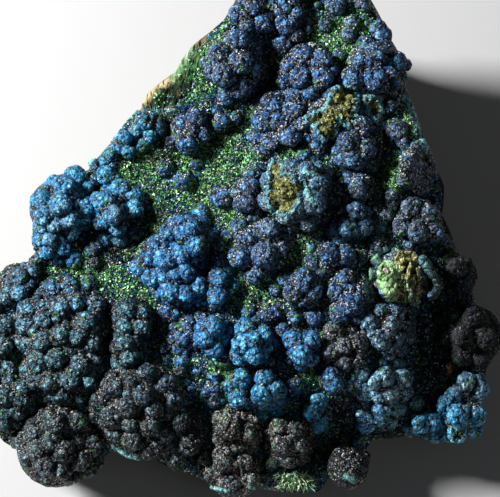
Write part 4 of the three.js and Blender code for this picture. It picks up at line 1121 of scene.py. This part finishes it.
BOSS_SKIN = (  # outline of the sound skin
    (380, 262), (387, 259), (394, 262), (401, 268), (403, 280), (408, 286), (413, 293), (411, 302),
    (399, 304), (388, 302), (383, 293), (378, 284), (377, 272),
)
BROKEN_PLACES = (  # outlines of where it is gone
    ((398, 250), (408, 247), (416, 252), (419, 262), (420, 276), (424, 288), (421, 299), (416, 302),
     (414, 293), (409, 285), (403, 281), (402, 276), (400, 268), (394, 260)),
    ((397, 289), (402, 286), (406, 290), (406, 298), (401, 302), (396, 298)),
)
BOSS_RIMS = (
    ((392, 250), (400, 246), (410, 246), (417, 251), (421, 262)),
    ((424, 276), (427, 288), (422, 300), (411, 305)), ((366, 266), (374, 260), (378, 256)),
    ((371, 268), (372, 280)), ((384, 302), (396, 306), (408, 307)),
)
RIM_REACH = 1.6  # picture points from a rim's line, and from a crack's
CRACK_REACH = 1.2
BOSS_CRACKS = (
    ((405, 287), (408, 294), (407, 301)), ((404, 252), (408, 262), (404, 274), (406, 288)),
    ((413, 256), (414, 268), (411, 276)), ((416, 272), (418, 284), (416, 296)),
    ((412, 284), (415, 292), (414, 301)),
)
RING = (386, 270, 4.0)  # across, down, radius


def boss_finish(points, faces, relief):
    """The boss's own relief and colours: the broken places lie lower, in facets, its rims stand up, and its
    cracks and the ring are cut in. Round the skin it is a dark crust like the mounds'. The skin is palest on
    the tops of its knobs and grains and darker in the knobs' creases, and the broken places palest on their
    grains' tops: painted highlight and shade."""
    across, down = picture_point(points)
    knob, grain = relief.knob, relief.grain
    ragged = 0.9 * np.sin(down * 1.3) + 0.9 * np.sin(across * 1.5 + 1)
    broken = np.maximum(*(inside(across, down, outline) for outline in BROKEN_PLACES))
    broken = smooth_step(-0.8, 0.8, broken + ragged)
    waxy = smooth_step(-1.2, 1.2, inside(across, down, BOSS_SKIN) + ragged)
    rim = np.minimum(sum(beside(across, down, RIM_REACH, *line) for line in BOSS_RIMS), 1)
    crack = np.minimum(sum(beside(across, down, CRACK_REACH, *line) for line in BOSS_CRACKS), 1)
    east, south = across - RING[0], down - RING[1]
    turn = np.arctan2(south, east)
    away = np.hypot(east, south) - RING[2] - 0.5 * np.sin(2 * turn) - 0.3 * np.sin(5 * turn)
    ring = np.exp(-((away / 1.1) ** 2))
    raised = 0.4 * rim - 0.25 * crack - 0.4 * ring + broken * (0.6 * chips(points, 1.1 * MM, 77) - 0.2)
    raised = raised * MM * smooth_step(0, 0.5 * MM, relief.over)
    points = points + vertex_normals(points, faces) * raised[:, None]
    colours, specks = mound_colours(DARK, relief)
    # Palest on the tops and darker in the creases: painted highlight and shade.
    rise = 0.6 * grain.top + 0.5 * knob.top - 0.5 * knob.crease
    skin = mix(linear(104, 168, 90), linear(188, 222, 160), rise)
    rough = mix(linear(50, 48, 24), linear(204, 200, 132), grain.top * (0.35 + 0.75 * grain.number))
    colours = mix(colours, lit(skin, 0.6 + 0.45 * grain.number), waxy)
    colours = mix(colours, rough, broken)
    colours = mix(colours, lit(linear(140, 204, 150), 0.5 + 0.5 * grain.number), 0.9 * rim)
    colours = mix(colours, linear(16, 20, 12), crack * np.maximum(waxy, broken))
    colours = mix(colours, linear(214, 184, 174), smooth_step(0.4, -0.4, away))
    colours = mix(colours, linear(20, 16, 14), ring)
    return points, faces, colours, np.maximum(specks * (1 - waxy) * (1 - broken), 0.15)


points, faces, relief = mound_surface(MOUNDS["broken_boss"], 900, 0)
wax = crystal_crust("pale_green_wax", CRYSTAL, PALE_SPECKS, 0.26, 0.5, 0.5)
boss = made_piece("broken_boss_skin", *boss_finish(points, faces, relief), wax)
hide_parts("broken_boss")
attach(boss, "root")
cover(points, relief.over)


# The druse
# Green copper crystals a quarter of a millimetre long, grown close together on the rock between the mounds,
# with single blue and white ones among them.

GRAIN_AREA = 0.053 * MM**2  # of the face to each crystal
DRUSE_EDGE = 0.985  # share of the way to the rock's outline at which the crystals end
ON_BARE = 0.12  # share of the crystals that stand on the bare rock too
LEAN = 0.5  # of the crystals out of the surface
LEAST_RADIUS, MORE_RADIUS = 0.13, 0.14  # mm, of the smallest ones, and by how much the largest are larger
CRYSTAL_LENGTH = 1.3  # their tip, as a share of their radius
rng = np.random.default_rng(7)


def scattered(points, triangles, area):
    """Random places on a surface, one to each area: a triangle drawn by its share of the area, and a place in
    it. Gives the places and the outward directions there."""
    corners = points[triangles]
    normal = np.cross(corners[:, 1] - corners[:, 0], corners[:, 2] - corners[:, 0])
    size = np.linalg.norm(normal, axis=1) / 2
    chosen = rng.choice(len(triangles), int(size.sum() / area), p=size / size.sum())
    first, second = rng.random((2, len(chosen), 1))
    beyond = first + second > 1
    first, second = np.where(beyond, 1 - first, first), np.where(beyond, 1 - second, second)
    corner = corners[chosen]
    place = corner[:, 0] + first * (corner[:, 1] - corner[:, 0]) + second * (corner[:, 2] - corner[:, 0])
    return place, normal[chosen] / (2 * size[chosen, None])


def pyramids(places, outward, radius, lean, length):
    """A closed three-sided pyramid at each place, its foot in the surface and its tip out by so many times
    its radius, leaned and turned."""
    axis = unit(outward + lean * rng.normal(size=places.shape))
    side = unit(np.cross(axis, rng.normal(size=places.shape)))
    other = np.cross(axis, side)
    turn = np.arange(3) * 2 * np.pi / 3
    foot = np.cos(turn)[None, :, None] * side[:, None] + np.sin(turn)[None, :, None] * other[:, None]
    corners = places[:, None] + radius[:, None, None] * (foot - 0.6 * axis[:, None])
    tip = places + axis * (radius * length)[:, None]
    points = np.concatenate([corners, tip[:, None]], 1).reshape(-1, 3)
    shape = np.array([(0, 1, 3), (1, 2, 3), (2, 0, 3), (0, 2, 1)])
    return points, (shape[None] + 4 * np.arange(len(places))[:, None, None]).reshape(-1, 3)


on_face_only = rock_triangles[(rock_triangles < rock_top).all(1)]
places, outward = scattered(rock_points, on_face_only, GRAIN_AREA)
across, down = picture_point(places)
bare = np.maximum(inside(across, down, BARE_ROCK), inside(across, down, TAN_BIT)) > 0
free = ~covered[map_cell(across, down)] & (rock_share_at(across, down) < DRUSE_EDGE)
free &= ~bare | (rng.random(len(places)) < ON_BARE)
places, outward, across, down = places[free], outward[free], across[free], down[free]
kind = rng.random(len(places))
shade = rng.random(len(places))
marks = markings(across, down)
greens = mix(linear(13, 45, 22), linear(132, 208, 126), shade)
greens = mix(greens, linear(186, 236, 164), kind > 0.88)
blues = mix(linear(8, 16, 40), linear(44, 112, 176), shade**1.5)
colours = mix(blues, greens, rng.random(len(places)) < marks.green)
colours = mix(colours, linear(190, 176, 160), rng.random(len(places)) > 0.955)
colours = mix(colours, linear(120, 112, 40), marks.olive)
colours = mix(colours, PALE_CYAN, marks.pale)
# Painted shade: darker in the deep gaps.
colours = lit(colours, 1 - 0.85 * marks.grime)
# The rusty streak, brightened as painted light.
colours = mix(colours, RUST_AND_PAINTED_LIGHT, beside(across, down, *RUST))
radius = (LEAST_RADIUS + MORE_RADIUS * rng.random(len(places))) * MM
points, faces = pyramids(places, outward, radius, LEAN, CRYSTAL_LENGTH)
druse = made_piece("green_druse", points, faces, np.repeat(colours, 4, 0), np.zeros(len(points)),
                   crystal_crust("druse_crystals", 0.3 * MM, GREEN_SPECKS, 0, 0.15, 0.35))
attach(druse, "root")


# The flange
# A splinter of pale green fibrous mineral that sticks out of the front edge: a sheaf of needles up to 2 mm
# long, spread a little from one point below the ground.

NEEDLES = 420
SHEAF_HUB = np.array([[296.0], [470.0]])  # across and down of the picture point from which they spread
HUB_DEPTH = 0.4 * MM  # of that point below the ground
SHEAF = ((277, 312), (474, 488))  # from where to where they stand, across and down
SHEAF_RISE = (-0.6, 1.0)  # mm over the ground
STRAY = 1.1 * MM  # how far they stray from the spread
NEEDLE_RADIUS = (0.08, 0.24)  # mm
NEEDLE_LENGTH = 5.6  # their tip, as a share of their radius
hub = on_face(*SHEAF_HUB, ground(*SHEAF_HUB) - HUB_DEPTH)
across, down = rng.uniform(*SHEAF[0], NEEDLES), rng.uniform(*SHEAF[1], NEEDLES)
foot = on_face(across, down, ground(across, down) + rng.uniform(*SHEAF_RISE, NEEDLES) * MM)
way = unit(foot - hub + rng.normal(0, STRAY, foot.shape))
radius = rng.uniform(*NEEDLE_RADIUS, NEEDLES) * MM
points, faces = pyramids(in_part(foot), way @ FACE_TURN, radius, 0.05, NEEDLE_LENGTH)
colours = mix(linear(56, 104, 60), linear(204, 228, 186), rng.random(NEEDLES))
colours = mix(colours, linear(110, 190, 200), rng.random(NEEDLES) > 0.93)
flange = made_piece("fibrous_flange", points, faces, np.repeat(colours, 4, 0), np.zeros(len(points)),
                    crystal_crust("pale_fibres", 0.3 * MM, GREEN_SPECKS, 0, 0.1, 0.5))
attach(flange, "root")


# Floor, light and camera
# A plain pale floor, one soft light low from the upper left as in the photograph, and a weak one to fill.

FLOOR = 1.2  # half the floor's width in metres


def area_light(name, direction, distance, size, power):
    """A square light that faces the middle of the face from a direction given in the face's own frame."""
    data = bpy.data.lights.new(name, "AREA")
    data.size = size
    data.energy = power
    lamp = placed(name, data)
    way = Vector(np.array(direction) @ FACE_TURN).normalized()
    lamp.location = Vector(FACE_PLACE) + way * distance
    lamp.rotation_euler = way.to_track_quat("Z", "Y").to_euler()


area_light("key_light", (-0.74, 0.44, 0.36), 0.45, 0.09, 5.6)
area_light("fill_light", (0.5, -0.3, 0.8), 0.6, 0.5, 0.2)

floor_mesh = bpy.data.meshes.new("floor")
floor_corners = [(-FLOOR, -FLOOR, 0), (FLOOR, -FLOOR, 0), (FLOOR, FLOOR, 0), (-FLOOR, FLOOR, 0)]
floor_mesh.from_pydata(floor_corners, [], [(0, 1, 2, 3)])
floor = placed("floor", floor_mesh)
floor_material, tree, surface = shader("pale_floor", 0.9)
surface.inputs["Base Color"].default_value = (0.5, 0.5, 0.5, 1)
floor_mesh.materials.append(floor_material)

world = bpy.data.worlds.new("studio")
world.use_nodes = True
world.node_tree.nodes["Background"].inputs["Color"].default_value = (0.9, 0.95, 1, 1)
world.node_tree.nodes["Background"].inputs["Strength"].default_value = 0.03
bpy.context.scene.world = world
bpy.context.scene.view_settings.view_transform = "Standard"

camera_data = bpy.data.cameras.new("camera")
camera_data.sensor_fit = "HORIZONTAL"
camera_data.lens = camera_data.sensor_width * EYE_DISTANCE / PICTURE_WIDTH
camera = placed("camera", camera_data)
camera.location = Vector(FACE_PLACE + EYE_DISTANCE * TO_EYE)
camera.rotation_euler = (np.pi / 2 - ELEVATION, 0, 0)
bpy.context.scene.camera = camera
